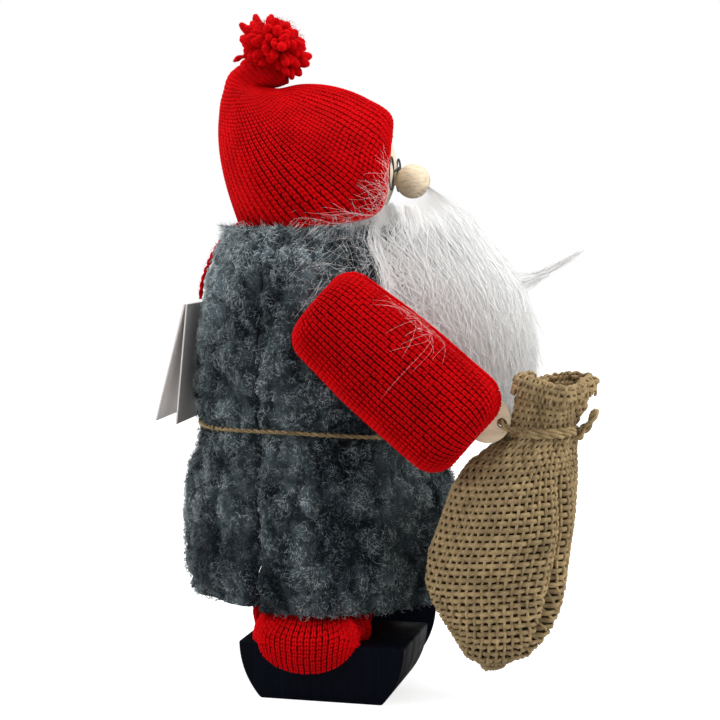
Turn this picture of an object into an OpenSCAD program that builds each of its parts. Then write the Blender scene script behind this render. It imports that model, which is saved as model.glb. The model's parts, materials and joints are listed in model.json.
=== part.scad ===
// Tomte gnome figurine: a stuffed, dressed gnome on two wooden shoes.
// Millimetres. The gnome stands on Z = 0, its body axis is the Z axis, it faces -Y,
// and its right hand is on the -X side.

/* [Body] */
// Height of the vest's hem above the ground
hem_z = 27; // [20:0.5:34]
// Height of the vest from its hem to its collar
torso_h = 129; // [105:1:160]
// Radius of the vest at the hips
hip_r = 49; // [40:0.5:60]
// Radius of the vest under the belt
waist_r = 42.5; // [34:0.5:52]
// Radius of the vest at the chest
chest_r = 45; // [36:0.5:55]
// Radius of the vest's collar
collar_r = 30; // [25:0.5:36]
// Thickness of the vest's fleece
fleece_t = 4; // [2:0.5:5]

/* [Wooden core] */
// Radius of the base disc inside the body
base_r = 41; // [33:0.5:44]
// Thickness of the base disc
base_t = 12; // [8:1:16]
// Radius of the spine dowel
spine_r = 8; // [5:0.5:10]
// Radius of a leg dowel
leg_r = 4; // [3:0.5:6]
// Half the distance between the legs
leg_x = 30; // [24:0.5:33]

/* [Shoes] */
// Length of a shoe at its top
shoe_l = 56; // [45:1:68]
// Width of a shoe
shoe_w = 40; // [32:1:46]
// Height of a shoe
shoe_h = 19; // [15:0.5:23]
// Turn-out of each toe in degrees
shoe_splay = 5; // [0:1:10]

/* [Trousers] */
// Radius of a trouser leg's puff
puff_r = 19; // [15:0.5:22]

/* [Head] */
// Radius of the head ball
head_r = 24.5; // [20:0.5:30]
// Radius of the nose bead
nose_r = 6; // [4:0.5:8]
// Radius of the spectacle rims
rim_r = 6.4; // [5:0.2:7]
// Radius of the spectacle wire
wire_r = 0.45; // [0.3:0.05:0.7]

/* [Hat] */
// Thickness of the hat's knit
knit_t = 2.6; // [1.5:0.1:3.5]
// Radius of the pompom
pompom_r = 11.3; // [8:0.1:14]

/* [Beard] */
// Half width of the beard
beard_w = 37; // [28:1:38]

/* [Arms] */
// Distance from the shoulder wire to the centre of the hand
arm_l = 60; // [50:0.5:72]
// Width of a sleeve seen from the side
sleeve_w = 36; // [28:0.5:42]
// Thickness of a sleeve seen from the front
sleeve_t = 23; // [18:0.5:28]
// Radius of the round hand
hand_r = 7.4; // [6:0.1:9]
// Thickness of the hand and its lath
hand_t = 3.6; // [2.5:0.1:5]
// Radius of the hole in the hand
hand_hole_r = 1.6; // [1.2:0.1:2]

/* [Sack] */
// Width of the sack at its widest
sack_w = 46; // [38:0.5:48]
// Height of the sack's lowest point above the ground
sack_z = 10.8; // [6:0.2:16]

/* [Hang tag] */
// Width of a leaf of the tag
tag_w = 36; // [28:1:44]
// Height of a leaf of the tag
tag_h = 42; // [32:1:52]

/* [Hidden] */

gap = 0.3;              // running space between neighbouring pieces
glue = 0.05;            // space round a glued dowel or peg
far = 400;              // longer than the whole figure
axis_y = 22.5;          // body's axis behind the middle of the whole outline

// Heights along the body
hip_z = hem_z + 15;
belly_z = hem_z + 39;
waist_z = hem_z + 60;
chest_z = hem_z + 68;
collar_z = hem_z + torso_h;
breast_z = collar_z - 45;
shoulder_z = collar_z - 18;
neck_z = collar_z - 8;

// Outside of the vest as [height, radius]
vest_outline = [[hem_z, hip_r - 3], [hip_z, hip_r], [belly_z, hip_r - 1], [waist_z - 4, waist_r + 1.5],
    [waist_z, waist_r], [waist_z + 4, waist_r + 1.5], [chest_z, chest_r], [breast_z, chest_r - 1],
    [shoulder_z, chest_r - 5], [neck_z, collar_r + 6], [collar_z, collar_r]];
seam_y = 22;            // side seams lie this far behind the body axis

function vest_r(z) = lookup(z, vest_outline);

// Core
base_z = hem_z + 23;
spine_y = -3;
head_sink = 4.5;
head_y = -2.5;
head_z = collar_z - head_sink + head_r;
spine_top = head_z - 12;
leg_y = -4;
leg_seat = 6;           // thickness of shoe left under a leg dowel

// Shoes: a half-round block, flat on top and underneath
shoe_y = -10.5;
shoe_arc_r = shoe_l / 2;
puff_x = leg_x + 5;
puff_top = base_z - gap;
puff_low = shoe_h - 9;

// Shoulders and arms. The arms turn about the shoulder wire
pivot_y = -13;
pivot_z = collar_z - 29;
block_w = 44;
block_d = 30;
block_h = 16;
wire_rod_r = 1.25;
arm_gap = 0.5;
arm_inset = 4.5;        // the arms sit this far inside the chest's own radius
arm_x = chest_r - arm_inset + arm_gap + sleeve_t / 2;
lath_x = arm_x - 2.5;
lath_w = 9;
arm_droop = 33.1;
sleeve_droop = 40.6;
sleeve_back = 6.4;      // sleeve behind the shoulder wire
sleeve_cut = 0.2;       // sleeve past the centre of the hand
sleeve_wall = 2.4;
washer_r = 3.2;
washer_t = 1.6;
hole_off = 4.6;         // hand's hole from the hand's centre
wire_end = lath_x + hand_t / 2 + gap + washer_t + 1.5;

hand_y = pivot_y - arm_l * cos(arm_droop);
hand_z = pivot_z - arm_l * sin(arm_droop);
hole_y = hand_y - hole_off;
hole_z = hand_z - 0.8;

// Nose and spectacles
nose_low = 4.4;         // nose below the middle of the head
nose_z = head_z - nose_low;
nose_y = head_y - sqrt(head_r * head_r - nose_low * nose_low) - nose_r - gap;
peg_r = 1.5;
rim_x = 11.3;
rim_y = nose_y + nose_r * 0.65;
rim_z = nose_z + 4;

// Hat as [height, back, front, half width] measured from the centre of a head ball
// of radius 24.5, front and back along Y
hat_k = head_r / 24.5;
hat_rows = [[-19.6, 30.5, 14.5, 25], [-17, 31, 16.5, 27.5], [-12, 33, 19, 30], [-5, 35, 20.8, 32],
    [2, 36.5, 21.8, 32.5], [9, 37.8, 22.5, 32.5], [15, 38.2, 23.5, 31.5], [18.5, 38.2, 23, 30],
    [21.5, 38, 19, 27], [24.5, 37.7, 11, 23], [27, 37.3, 3.5, 17], [29, 36.8, -6, 12],
    [31.3, 36, -23.5, 6.5], [34.5, 34.4, -27.5, 4.2], [37.2, 33, -30.2, 1.6]];
hat_cave_rows = [for (r = hat_rows) if (r[0] < 28) r];
hat_brim_front = 28;
tip_y = head_y + 32 * hat_k;
tip_z = head_z + 37.2 * hat_k + gap;

// Pompom, on its thread over the hat's tip
pompom_y = tip_y - 12.6 * hat_k;
pompom_z = head_z + 31.4 * hat_k + pompom_r;
thread_r = 0.9;

// Beard as [height above the chest line, how far it stands out from the vest, width share]
beard_top = neck_z + 2.1;
beard_gap = 0.9;
beard_rows = [[-4, 23, 0.45], [1, 26, 0.72], [8, 29, 0.92], [18, 30.5, 1], [31, 29.5, 1],
    [44, 24, 0.94], [beard_top - chest_z, 20.5, 0.76]];

// Sack as [share of the drop from the hand's hole, back, front, half thickness] where
// back and front are measured forward from the hole
sack_x = arm_x - 10;
sack_drop = hole_z - sack_z;
sack_k = sack_w / 46;
sack_rows = [[1, -8, 0, 4], [0.98, -9.5, 3, 9], [0.925, -13, 8, 13], [0.83, -17, 13.5, 16],
    [0.73, -21.5, 17.5, 17.5], [0.64, -24, 20, 18], [0.52, -23.5, 22, 18], [0.4, -19.5, 23, 17.5],
    [0.28, -15, 23.3, 16], [0.18, -9.5, 24, 14], [0.11, -2, 24.3, 12]];
sack_wall = 1.4;
tie_r = 1.3;
neck_r = 10.3;
neck_y = -14.5;           // middle of the round neck, in front of the hole
tie_off = -3.4;           // middle of the tie, from the hole
frill_rows = [[tie_off - 1.5, -neck_y - neck_r, -neck_y + neck_r, neck_r],
    [tie_off + 1.5, -neck_y - neck_r, -neck_y + neck_r, neck_r],
    [7, 5, 27, 12.5], [13, 6.5, 28, 14], [16, 8.5, 25, 12]];

// Hang tag on its cord down the back
tag_t = 0.5;
tag_z = breast_z + 18;
tag_y = vest_r(tag_z) + 2.2;
tag_lean = 5.5;
tag_open = 9;
cord_r = 0.7;
cord_hang = 0.95;       // cord's end above the tag's fold
cord_path = [for (z = [collar_z + 1.4, collar_z - 1, collar_z - 5, collar_z - 9, collar_z - 14,
    collar_z - 19, tag_z + cord_hang]) [0, vest_r(z) + (z > collar_z ? -1 : 2.2), z]];

// A closed solid through level rings that have as many points each
module loft(rings) {
    n = len(rings[0]);
    m = len(rings);
    polyhedron(points = [for (r = rings) for (p = r) p],
        faces = concat(
            [[for (i = [0 : n - 1]) i]],
            [for (j = [0 : m - 2]) for (i = [0 : n - 1]) each let(a = j * n + i,
                b = j * n + (i + 1) % n) [[a, a + n, b], [b, a + n, b + n]]],
            [[for (i = [n - 1 : -1 : 0]) (m - 1) * n + i]]),
        convexity = 6);
}

// A tube of one skin along points in the plane X = x
module tube_yz(path, r, sides = 8) {
    rings = [for (i = [0 : len(path) - 1]) let(
        a = path[max(i - 1, 0)], b = path[min(i + 1, len(path) - 1)], d = (b - a) / norm(b - a))
        [for (k = [0 : sides - 1]) let(t = -360 * k / sides)
            path[i] + r * (cos(t) * [1, 0, 0] + sin(t) * cross(d, [1, 0, 0]))]];
    loft(rings);
}

// A round bar from p to q
module bar(p, q, r) {
    v = q - p;
    translate(p) rotate([0, acos(v[2] / norm(v)), atan2(v[1], v[0])])
        cylinder(r = r, h = norm(v), $fn = 48);
}

// The side of the body: 1 keeps the gnome's left, -1 makes its right
module on_side(side) {
    mirror([side < 0 ? 1 : 0, 0, 0]) children();
}

// Solid inside the vest's outline, drawn in by a distance
module vest_core(inset, low = hem_z, high = collar_z) {
    heights = concat([low], [for (p = vest_outline) if (p[0] > low && p[0] < high) p[0]], [high]);
    rotate_extrude($fn = 96) polygon(concat([[0, low]], [for (z = heights) [vest_r(z) - inset, z]],
        [[0, high]]));
}

module vest_shell() {
    difference() {
        vest_core(0);
        rotate_extrude($fn = 96) polygon(concat([[0, hem_z - 1]], [[vest_r(hem_z) - fleece_t, hem_z - 1]],
            [for (p = vest_outline) [p[1] - fleece_t, p[0]]],
            [[vest_r(collar_z) - fleece_t, collar_z + 1], [0, collar_z + 1]]));
        bar([-far / 2, pivot_y, pivot_z], [far / 2, pivot_y, pivot_z], wire_rod_r + gap);
    }
}

module vest_front() {
    color("slategray") intersection() {
        vest_shell();
        translate([-far / 2, seam_y - gap / 2 - far, 0]) cube(far);
    }
}

module vest_back() {
    color("dimgray") intersection() {
        vest_shell();
        translate([-far / 2, seam_y + gap / 2, 0]) cube(far);
    }
}

module belt() {
    belt_rod = 1;
    color("tan") {
        translate([0, 0, waist_z]) rotate_extrude($fn = 96)
            translate([waist_r + belt_rod + gap, 0]) circle(r = belt_rod, $fn = 24);
        translate([0, -waist_r - 2 * belt_rod - gap, waist_z]) sphere(r = 2.2, $fn = 32);
    }
}

// One shoe, pointing straight ahead, with its bore for the leg
module shoe() {
    difference() {
        intersection() {
            translate([-shoe_w / 2, shoe_y, shoe_h]) rotate([0, 90, 0])
                cylinder(r = shoe_arc_r, h = shoe_w, $fn = 96);
            translate([-shoe_w / 2, shoe_y - shoe_l / 2, 0]) cube([shoe_w, shoe_l, shoe_h]);
        }
        translate([0, leg_y, leg_seat]) cylinder(r = leg_r + glue, h = far, $fn = 48);
    }
}

module splayed(side) {
    translate([side * leg_x, 0, 0]) translate([0, leg_y, 0]) rotate([0, 0, side * shoe_splay])
        translate([0, -leg_y, 0]) children();
}

module shoe_on(side) { color("midnightblue") splayed(side) shoe(); }
module shoe_right() { shoe_on(-1); }
module shoe_left() { shoe_on(1); }

module leg_dowel_on(side) {
    color("burlywood") translate([side * leg_x, leg_y, leg_seat])
        cylinder(r = leg_r, h = base_z + base_t - 2 - leg_seat, $fn = 48);
}
module leg_dowel_right() { leg_dowel_on(-1); }
module leg_dowel_left() { leg_dowel_on(1); }

// Knitted puff over the leg, hanging over the shoe's outer edge
module trouser_on(side) {
    color("red") difference() {
        translate([side * puff_x, leg_y, 0]) rotate_extrude($fn = 64) polygon([[0, puff_low],
            [puff_r - 6, puff_low], [puff_r - 1.5, puff_low + 4], [puff_r, puff_low + 10],
            [puff_r, puff_low + 18], [puff_r - 4, puff_top - 8], [puff_r - 10, puff_top], [0, puff_top]]);
        splayed(side) translate([-shoe_w / 2 - gap, shoe_y - shoe_l / 2 - gap, -1])
            cube([shoe_w + 2 * gap, shoe_l + 2 * gap, shoe_h + 1 + gap]);
        translate([side * leg_x, leg_y, 0]) cylinder(r = leg_r + gap, h = far, $fn = 48);
        translate([0, 0, hem_z - gap]) difference() {
            cylinder(r = far / 2, h = far / 4, $fn = 64);
            translate([0, 0, -1]) cylinder(r = hip_r - 3 - fleece_t - gap, h = far, $fn = 96);
        }
    }
}
module trouser_right() { trouser_on(-1); }
module trouser_left() { trouser_on(1); }

module base_disc() {
    color("burlywood") difference() {
        translate([0, 0, base_z]) cylinder(r = base_r, h = base_t, $fn = 96);
        for (side = [-1, 1]) translate([side * leg_x, leg_y, base_z - 1])
            cylinder(r = leg_r + glue, h = base_t - 1, $fn = 48);
        translate([0, spine_y, base_z + 2]) cylinder(r = spine_r + glue, h = far, $fn = 64);
    }
}

module spine() {
    color("burlywood") difference() {
        translate([0, spine_y, base_z + 2]) cylinder(r = spine_r, h = spine_top - base_z - 2, $fn = 64);
        bar([0, nose_y, nose_z], [0, 0, nose_z], peg_r + gap);
    }
}

module shoulder_block() {
    color("burlywood") difference() {
        translate([-block_w / 2, pivot_y - 5, pivot_z - block_h / 2]) cube([block_w, block_d, block_h]);
        translate([0, spine_y, 0]) cylinder(r = spine_r + glue, h = far, $fn = 64);
        bar([-far / 2, pivot_y, pivot_z], [far / 2, pivot_y, pivot_z], wire_rod_r + glue);
    }
}

module shoulder_wire() {
    color("silver") bar([-wire_end, pivot_y, pivot_z], [wire_end, pivot_y, pivot_z], wire_rod_r);
}

module shoulder_washers() {
    color("silver") for (side = [-1, 1]) on_side(side) difference() {
        translate([lath_x + hand_t / 2 + gap, pivot_y, pivot_z]) rotate([0, 90, 0])
            cylinder(r = washer_r, h = washer_t, $fn = 48);
        bar([0, pivot_y, pivot_z], [far, pivot_y, pivot_z], wire_rod_r + 0.01);
    }
}

module body_wadding() {
    inside = fleece_t + gap;
    low = base_z + base_t + gap;
    color("white") difference() {
        vest_core(inside, low, collar_z - head_sink - gap);
        translate([0, spine_y, 0]) cylinder(r = spine_r + gap, h = far, $fn = 64);
        translate([-block_w / 2 - gap, pivot_y - 5 - gap, pivot_z - block_h / 2 - gap])
            cube([block_w, block_d, block_h] + 2 * gap * [1, 1, 1]);
        bar([-far / 2, pivot_y, pivot_z], [far / 2, pivot_y, pivot_z], wire_rod_r + gap);
        for (side = [-1, 1]) translate([side * leg_x, leg_y, 0])
            cylinder(r = leg_r + gap, h = base_z + base_t + 2 * gap, $fn = 48);
    }
}

// Places children drawn along +Z from the shoulder wire, X across the arm's thickness
module along_arm(droop) {
    translate([arm_x, pivot_y, pivot_z]) rotate([90 + droop, 0, 0]) children();
}

// A flattened, round-ended tube in the arm's place, drawn in by a distance
module sleeve_form(inset) {
    n = 36;
    half = sleeve_w / 2 - inset;
    back_r = half - 3;      // nearly a half round behind the shoulder
    cuff_r = half / 2;
    low = -sleeve_back + inset;
    high = arm_l + sleeve_cut - inset;
    thin = (sleeve_t / 2 - inset) / half;
    outline = concat(
        [for (a = [0 : 15 : 90]) [half - back_r + back_r * sin(a), low + back_r - back_r * cos(a)]],
        [for (a = [0 : 18 : 90]) [half - cuff_r + cuff_r * cos(a), high - cuff_r + cuff_r * sin(a)]]);
    along_arm(sleeve_droop) loft([for (p = outline) [for (i = [0 : n - 1])
        [thin * p[0] * cos(360 * i / n), p[0] * sin(360 * i / n), p[1]]]]);
}

module lath_form(spare) {
    translate([lath_x - hand_t / 2 - spare, pivot_y, pivot_z]) rotate([arm_droop - 90, 0, 0])
        rotate([0, 90, 0]) linear_extrude(hand_t + 2 * spare) {
            circle(r = lath_w / 2 + spare, $fn = 64);
            translate([arm_l, 0]) circle(r = hand_r + spare, $fn = 64);
            translate([0, 0.5 - lath_w / 2 - spare]) square([arm_l, lath_w - 1 + 2 * spare]);
        }
}

// Flat birch lath with a round hand, turning on the shoulder wire
module hand_on(side) {
    color("wheat") on_side(side) difference() {
        lath_form(0);
        bar([0, pivot_y, pivot_z], [far, pivot_y, pivot_z], wire_rod_r + glue);
        bar([0, hole_y, hole_z], [far, hole_y, hole_z], hand_hole_r);
    }
}
module hand_right() { hand_on(-1); }
module hand_left() { hand_on(1); }

module sleeve_on(side) {
    color("red") on_side(side) difference() {
        sleeve_form(0);
        sleeve_form(sleeve_wall);
        bar([0, pivot_y, pivot_z], [arm_x, pivot_y, pivot_z], wire_rod_r + gap);
        lath_form(gap);
    }
}
module sleeve_right() { sleeve_on(-1); }
module sleeve_left() { sleeve_on(1); }

module arm_wadding_on(side) {
    color("white") on_side(side) difference() {
        sleeve_form(sleeve_wall + gap);
        bar([0, pivot_y, pivot_z], [wire_end + 2 * gap, pivot_y, pivot_z], washer_r + gap);
        lath_form(gap);
    }
}
module arm_wadding_right() { arm_wadding_on(-1); }
module arm_wadding_left() { arm_wadding_on(1); }

module head() {
    color("bisque") difference() {
        translate([0, head_y, head_z]) sphere(r = head_r, $fn = 96);
        translate([0, spine_y, 0]) cylinder(r = spine_r + glue, h = spine_top + glue, $fn = 64);
        bar([0, nose_y, nose_z], [0, spine_y - spine_r + 1, nose_z], peg_r + glue);
    }
}

module nose() {
    color("burlywood") difference() {
        translate([0, nose_y, nose_z]) sphere(r = nose_r, $fn = 64);
        bar([0, nose_y - 2 * nose_r, nose_z], [0, nose_y + 2 * nose_r, nose_z], peg_r + glue);
    }
}

module nose_peg() {
    color("tan") bar([0, nose_y - nose_r + 1, nose_z], [0, spine_y - spine_r - 1, nose_z], peg_r);
}

// Two round wire rims, a bridge over the nose and side wires tucked under the hat
module spectacles() {
    side_end = [head_r + 2.2, head_y - 2, head_z + 4];
    thin_r = 0.8 * wire_r;
    bridge_up = 3;          // bridge above the middle of the rims
    bridge_x = rim_x - sqrt(rim_r * rim_r - bridge_up * bridge_up);
    color("black") {
        for (side = [-1, 1]) {
            translate([side * rim_x, rim_y, rim_z]) rotate([90, 0, 0])
                rotate_extrude($fn = 48) translate([rim_r, 0]) circle(r = wire_r, $fn = 16);
            on_side(side) bar([rim_x + rim_r, rim_y, rim_z], side_end, thin_r);
        }
        bar([-bridge_x, rim_y, rim_z + bridge_up], [bridge_x, rim_y, rim_z + bridge_up], thin_r);
    }
}

function bulge(v, power) = sign(v) * pow(abs(v), power);

// One level of the hat: full and square at the front, rounder behind
function hat_ring(row, inset) = let(n = 48, mid = (row[2] - row[1]) / 2, half = (row[2] + row[1]) / 2)
    [for (i = [0 : n - 1]) let(a = 360 * i / n, power = cos(a) > 0 ? 0.6 : 0.9)
        [(hat_k * row[3] - inset) * bulge(sin(a), power),
         head_y - hat_k * mid - (hat_k * half - inset) * bulge(cos(a), power),
         head_z + hat_k * row[0]]];

module hat_form() { loft([for (r = hat_rows) hat_ring(r, 0)]); }

// The space inside the hat, drawn in by a distance and open below and at the face
module hat_cave(inset, low) {
    loft([for (i = [0 : len(hat_cave_rows) - 1]) let(r = hat_cave_rows[i])
        hat_ring([i == 0 ? r[0] - low : r[0] - (i > 7 ? inset / 2 : 0), r[1], r[2], r[3]], inset)]);
}

module hat() {
    opening = [hat_k * 46, 20, hat_k * 35];
    color("red") difference() {
        hat_form();
        hat_cave(knit_t, 2);
        translate([-opening[0] / 2, head_y - hat_k * hat_brim_front, head_z - hat_k * 22]) cube(opening);
        bar([0, tip_y, tip_z - 4], [0, tip_y, tip_z + 4], thread_r + gap);
    }
}

module hat_wadding() {
    color("white") difference() {
        hat_cave(knit_t + gap, -gap);
        translate([0, head_y, head_z]) sphere(r = head_r + gap, $fn = 64);
        translate([-far / 2, head_y - 2 - far, 0]) cube(far);
    }
}

// Thread that holds the pompom: a stalk from the hat's tip into the pompom
module pompom_thread() {
    foot = [0, tip_y, tip_z + gap + thread_r];
    color("firebrick") {
        translate(foot) sphere(r = thread_r, $fn = 32);
        bar(foot, [0, pompom_y, pompom_z], thread_r);
    }
}

module pompom() {
    color("red") difference() {
        translate([0, pompom_y, pompom_z]) sphere(r = pompom_r, $fn = 64);
        bar([0, tip_y, tip_z + gap + thread_r], [0, pompom_y, pompom_z], thread_r + glue);
    }
}

// One level of the beard: a full curve in front, the vest's own curve behind
function beard_ring(row) = let(n = 18, z = chest_z + row[0], w = beard_w * row[2],
    back_r = vest_r(z) + beard_gap, side_y = sqrt(back_r * back_r - w * w), deep = back_r + row[1] - side_y)
    concat([for (i = [0 : n]) let(a = 180 * i / n) [w * cos(a), -side_y - deep * pow(sin(a), 0.8), z]],
        [for (i = [1 : n - 1]) let(x = -w + 2 * w * i / n) [x, -sqrt(back_r * back_r - x * x), z]]);

module beard() {
    color("white") loft([for (r = beard_rows) [for (p = beard_ring(r)) [-p[0], p[1], p[2]]]]);
}

module moustache() {
    top_r = 7.4;
    end_r = 5.8;
    y = nose_y - 9;
    color("white") hull() {
        translate([0, y, beard_top + gap + top_r]) sphere(r = top_r, $fn = 32);
        for (side = [-1, 1]) translate([side * 14, y + 4, beard_top + gap + end_r])
            sphere(r = end_r, $fn = 32);
    }
}

// One level of the sack, drawn in by a distance
function sack_ring(z, back, front, half, inset) = let(n = 32,
    mid = sack_k * (front + back) / 2, a = sack_k * (front - back) / 2 - inset, b = sack_k * half - inset)
    [for (i = [0 : n - 1]) let(t = 360 * i / n)
        [-sack_x + b * sin(t), hole_y - mid - a * cos(t), z]];

function sack_body(inset) = [for (r = sack_rows)
    sack_ring(hole_z - r[0] * sack_drop + inset * (r[0] > 0.95 ? 1 : 0), r[1], r[2], r[3], inset)];

module sack() {
    color("tan") difference() {
        loft(concat(sack_body(0), [for (r = frill_rows) sack_ring(hole_z + r[0], r[1], r[2], r[3], 0)]));
        loft(sack_body(sack_wall));
    }
}

module sack_filling() {
    color("white") loft(sack_body(sack_wall + gap));
}

// Jute twine round the neck, with a loose end in front
module sack_tie() {
    mid = [-sack_x, hole_y + sack_k * neck_y, hole_z + tie_off];
    ring_r = sack_k * neck_r + tie_r + gap;
    color("peru") {
        translate(mid) rotate_extrude($fn = 72) translate([ring_r, 0]) circle(r = tie_r, $fn = 32);
        bar(mid + [0, -ring_r, 0], mid + [-2, -ring_r - 5, 6], tie_r);
    }
}

// Turn of twine through the hand's hole, knotted on both sides of the hand
module hand_loop() {
    loop_r = 1.1;
    knot_r = 2;
    reach = hand_t / 2 + gap + knot_r;
    color("peru") translate([-lath_x, hole_y, hole_z]) rotate([0, 90, 0])
        rotate_extrude($fn = 48) intersection() {
            union() {
                square([2 * loop_r, 2 * reach], center = true);
                for (side = [-1, 1]) translate([0, side * reach]) circle(r = knot_r, $fn = 48);
            }
            translate([0, -far / 2]) square(far);
        }
}

// A leaf of the card, hanging from the fold and leaning out by an angle
module leaf(lean, offset) {
    translate([0, tag_y + offset, tag_z]) rotate([lean, 0, 0])
        translate([-tag_w / 2, 0, -tag_h]) cube([tag_w, tag_t, tag_h]);
}
module tag_inner_leaf() { color("ivory") leaf(tag_lean, 0); }
module tag_outer_leaf() { color("ivory") leaf(tag_lean + tag_open, tag_t + gap); }
module tag_cord() { color("red") tube_yz(cord_path, cord_r); }

// Pieces are drawn about the body's axis; this stands them over the middle of the outline
module place() { translate([0, axis_y, 0]) children(); }

place() shoe_right();
place() shoe_left();
place() leg_dowel_right();
place() leg_dowel_left();
place() trouser_right();
place() trouser_left();
place() base_disc();
place() spine();
place() shoulder_block();
place() shoulder_wire();
place() shoulder_washers();
place() body_wadding();
place() vest_front();
place() vest_back();
place() belt();
place() hand_right();
place() hand_left();
place() sleeve_right();
place() sleeve_left();
place() arm_wadding_right();
place() arm_wadding_left();
place() head();
place() nose();
place() nose_peg();
place() spectacles();
place() hat();
place() hat_wadding();
place() pompom_thread();
place() pompom();
place() beard();
place() moustache();
place() sack();
place() sack_filling();
place() sack_tie();
place() hand_loop();
place() tag_inner_leaf();
place() tag_outer_leaf();
place() tag_cord();
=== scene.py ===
"""Looks of a stuffed tomte gnome: knitted, furred and woven pieces round a wooden figure."""

import json
import math

import bpy
import numpy as np
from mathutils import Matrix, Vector
from mathutils.kdtree import KDTree

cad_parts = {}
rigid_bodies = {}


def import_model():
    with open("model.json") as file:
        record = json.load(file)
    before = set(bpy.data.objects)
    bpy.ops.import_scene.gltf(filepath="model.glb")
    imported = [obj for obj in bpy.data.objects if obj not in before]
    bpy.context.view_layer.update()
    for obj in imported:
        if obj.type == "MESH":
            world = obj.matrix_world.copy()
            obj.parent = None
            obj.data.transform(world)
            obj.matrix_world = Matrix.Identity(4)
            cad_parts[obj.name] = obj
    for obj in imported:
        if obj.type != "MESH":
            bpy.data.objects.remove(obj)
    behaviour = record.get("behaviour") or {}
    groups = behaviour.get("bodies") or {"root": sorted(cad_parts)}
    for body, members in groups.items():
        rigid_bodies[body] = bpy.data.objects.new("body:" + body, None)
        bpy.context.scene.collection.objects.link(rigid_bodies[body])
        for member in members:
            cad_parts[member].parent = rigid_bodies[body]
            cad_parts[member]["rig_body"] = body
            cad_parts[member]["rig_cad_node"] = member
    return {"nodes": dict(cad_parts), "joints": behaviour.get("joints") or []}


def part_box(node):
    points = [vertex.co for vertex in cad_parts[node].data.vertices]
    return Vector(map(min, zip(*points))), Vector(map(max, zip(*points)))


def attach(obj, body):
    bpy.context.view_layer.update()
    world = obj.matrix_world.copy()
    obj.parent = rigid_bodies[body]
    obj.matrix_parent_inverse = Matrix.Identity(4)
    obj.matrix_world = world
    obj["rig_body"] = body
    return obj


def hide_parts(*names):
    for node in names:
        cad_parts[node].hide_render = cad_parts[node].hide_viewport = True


bl_info = {
    "name": "Tomte Gnome Figurine",
    "version": (1, 0, 0),
    "blender": (4, 5, 0),
    "location": "View3D > Sidebar > Tomte",
    "description": "Knits, furs and weaves the soft pieces of a tomte gnome figurine",
    "category": "Add Mesh",
}

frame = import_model()

MM = 0.001
TURN = 2 * math.pi


# ---------------------------------------------------------------- places in the frame

# The body's own axis: every shape here is worked out about it, and placed by it at the end
AXIS = np.array([0, (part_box("base_disc")[0][1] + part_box("base_disc")[1][1]) / 2, 0])


def corners(node):
    """Lowest and highest corner of a node, from the body's axis."""
    low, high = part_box(node)
    return np.array(low) - AXIS, np.array(high) - AXIS


def joint_place(name):
    """Where a joint turns, from the body's axis."""
    return np.array(next(j["pos_m"] for j in frame["joints"] if j["name"] == name), float) - AXIS


def node_points(*names):
    """All vertices of some nodes."""
    clouds = []
    for name in names:
        vertices = frame["nodes"][name].data.vertices
        cloud = np.empty(len(vertices) * 3, np.float32)
        vertices.foreach_get("co", cloud)
        clouds.append(cloud.reshape(-1, 3))
    return np.concatenate(clouds).astype(float) - AXIS


def level_rows(points, measure):
    """Heights of the levels that vertices lie on, and what each level measures."""
    levels = np.unique(np.round(points[:, 2], 5))
    rows = [measure(points[np.abs(points[:, 2] - level) < 2e-5]) for level in levels]
    return levels, np.array(rows)


# ---------------------------------------------------------------- curves and noise

def unit(vectors):
    """Vectors made one long."""
    return vectors / np.maximum(np.linalg.norm(vectors, axis=-1, keepdims=True), 1e-12)


def ease(x, low, high):
    """0 below low, 1 above high and smooth between."""
    t = np.clip((x - low) / (high - low), 0, 1)
    return t * t * (3 - 2 * t)


def through(knots, rows, t):
    """Smooth curve through rows that stand at knots, read at each t."""
    knots, rows, t = np.asarray(knots, float), np.asarray(rows, float), np.asarray(t, float)
    slope = np.gradient(rows, knots, axis=0)
    i = np.clip(np.searchsorted(knots, t, side="right") - 1, 0, len(knots) - 2)
    step = (knots[i + 1] - knots[i])[..., None]
    s = (t[..., None] - knots[i][..., None]) / step
    return ((2 * s ** 3 - 3 * s ** 2 + 1) * rows[i] + (3 * s ** 2 - 2 * s ** 3) * rows[i + 1]
            + (s ** 3 - 2 * s ** 2 + s) * slope[i] * step + (s ** 3 - s ** 2) * slope[i + 1] * step)


def ripple(points, length, seed):
    """Smooth noise, about -1 to 1, with lumps of some length."""
    rng = np.random.default_rng(seed)
    waves = rng.normal(size=(14, 3)) * (TURN / length / 1.8)
    phases = rng.uniform(0, TURN, 14)
    return np.sin(points @ waves.T + phases).sum(-1) / math.sqrt(14)


def half_turn(angle):
    """The same angle between -pi and pi."""
    return np.arctan2(np.sin(angle), np.cos(angle))


def even_path(points, count):
    """A smooth line through a few points, as count points evenly apart."""
    points = np.asarray(points, float)
    knots = np.concatenate([[0], np.cumsum(np.linalg.norm(np.diff(points, axis=0), axis=1))])
    fine = through(knots, points, np.linspace(0, knots[-1], 20 * len(points)))
    along = np.concatenate([[0], np.cumsum(np.linalg.norm(np.diff(fine, axis=0), axis=1))])
    want = np.linspace(0, along[-1], count)
    return np.stack([np.interp(want, along, fine[:, k]) for k in range(3)], axis=1)


# ---------------------------------------------------------------- meshes

def grid_faces(rows, columns, wrap):
    """Quads between the points of a grid, row after row; wrap joins each row's ends."""
    r, c = np.meshgrid(np.arange(rows - 1), np.arange(columns if wrap else columns - 1), indexing="ij")
    right = (c + 1) % columns
    quads = np.stack([r * columns + c, r * columns + right,
                      (r + 1) * columns + right, (r + 1) * columns + c], axis=-1)
    return quads.reshape(-1, 4)


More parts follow.
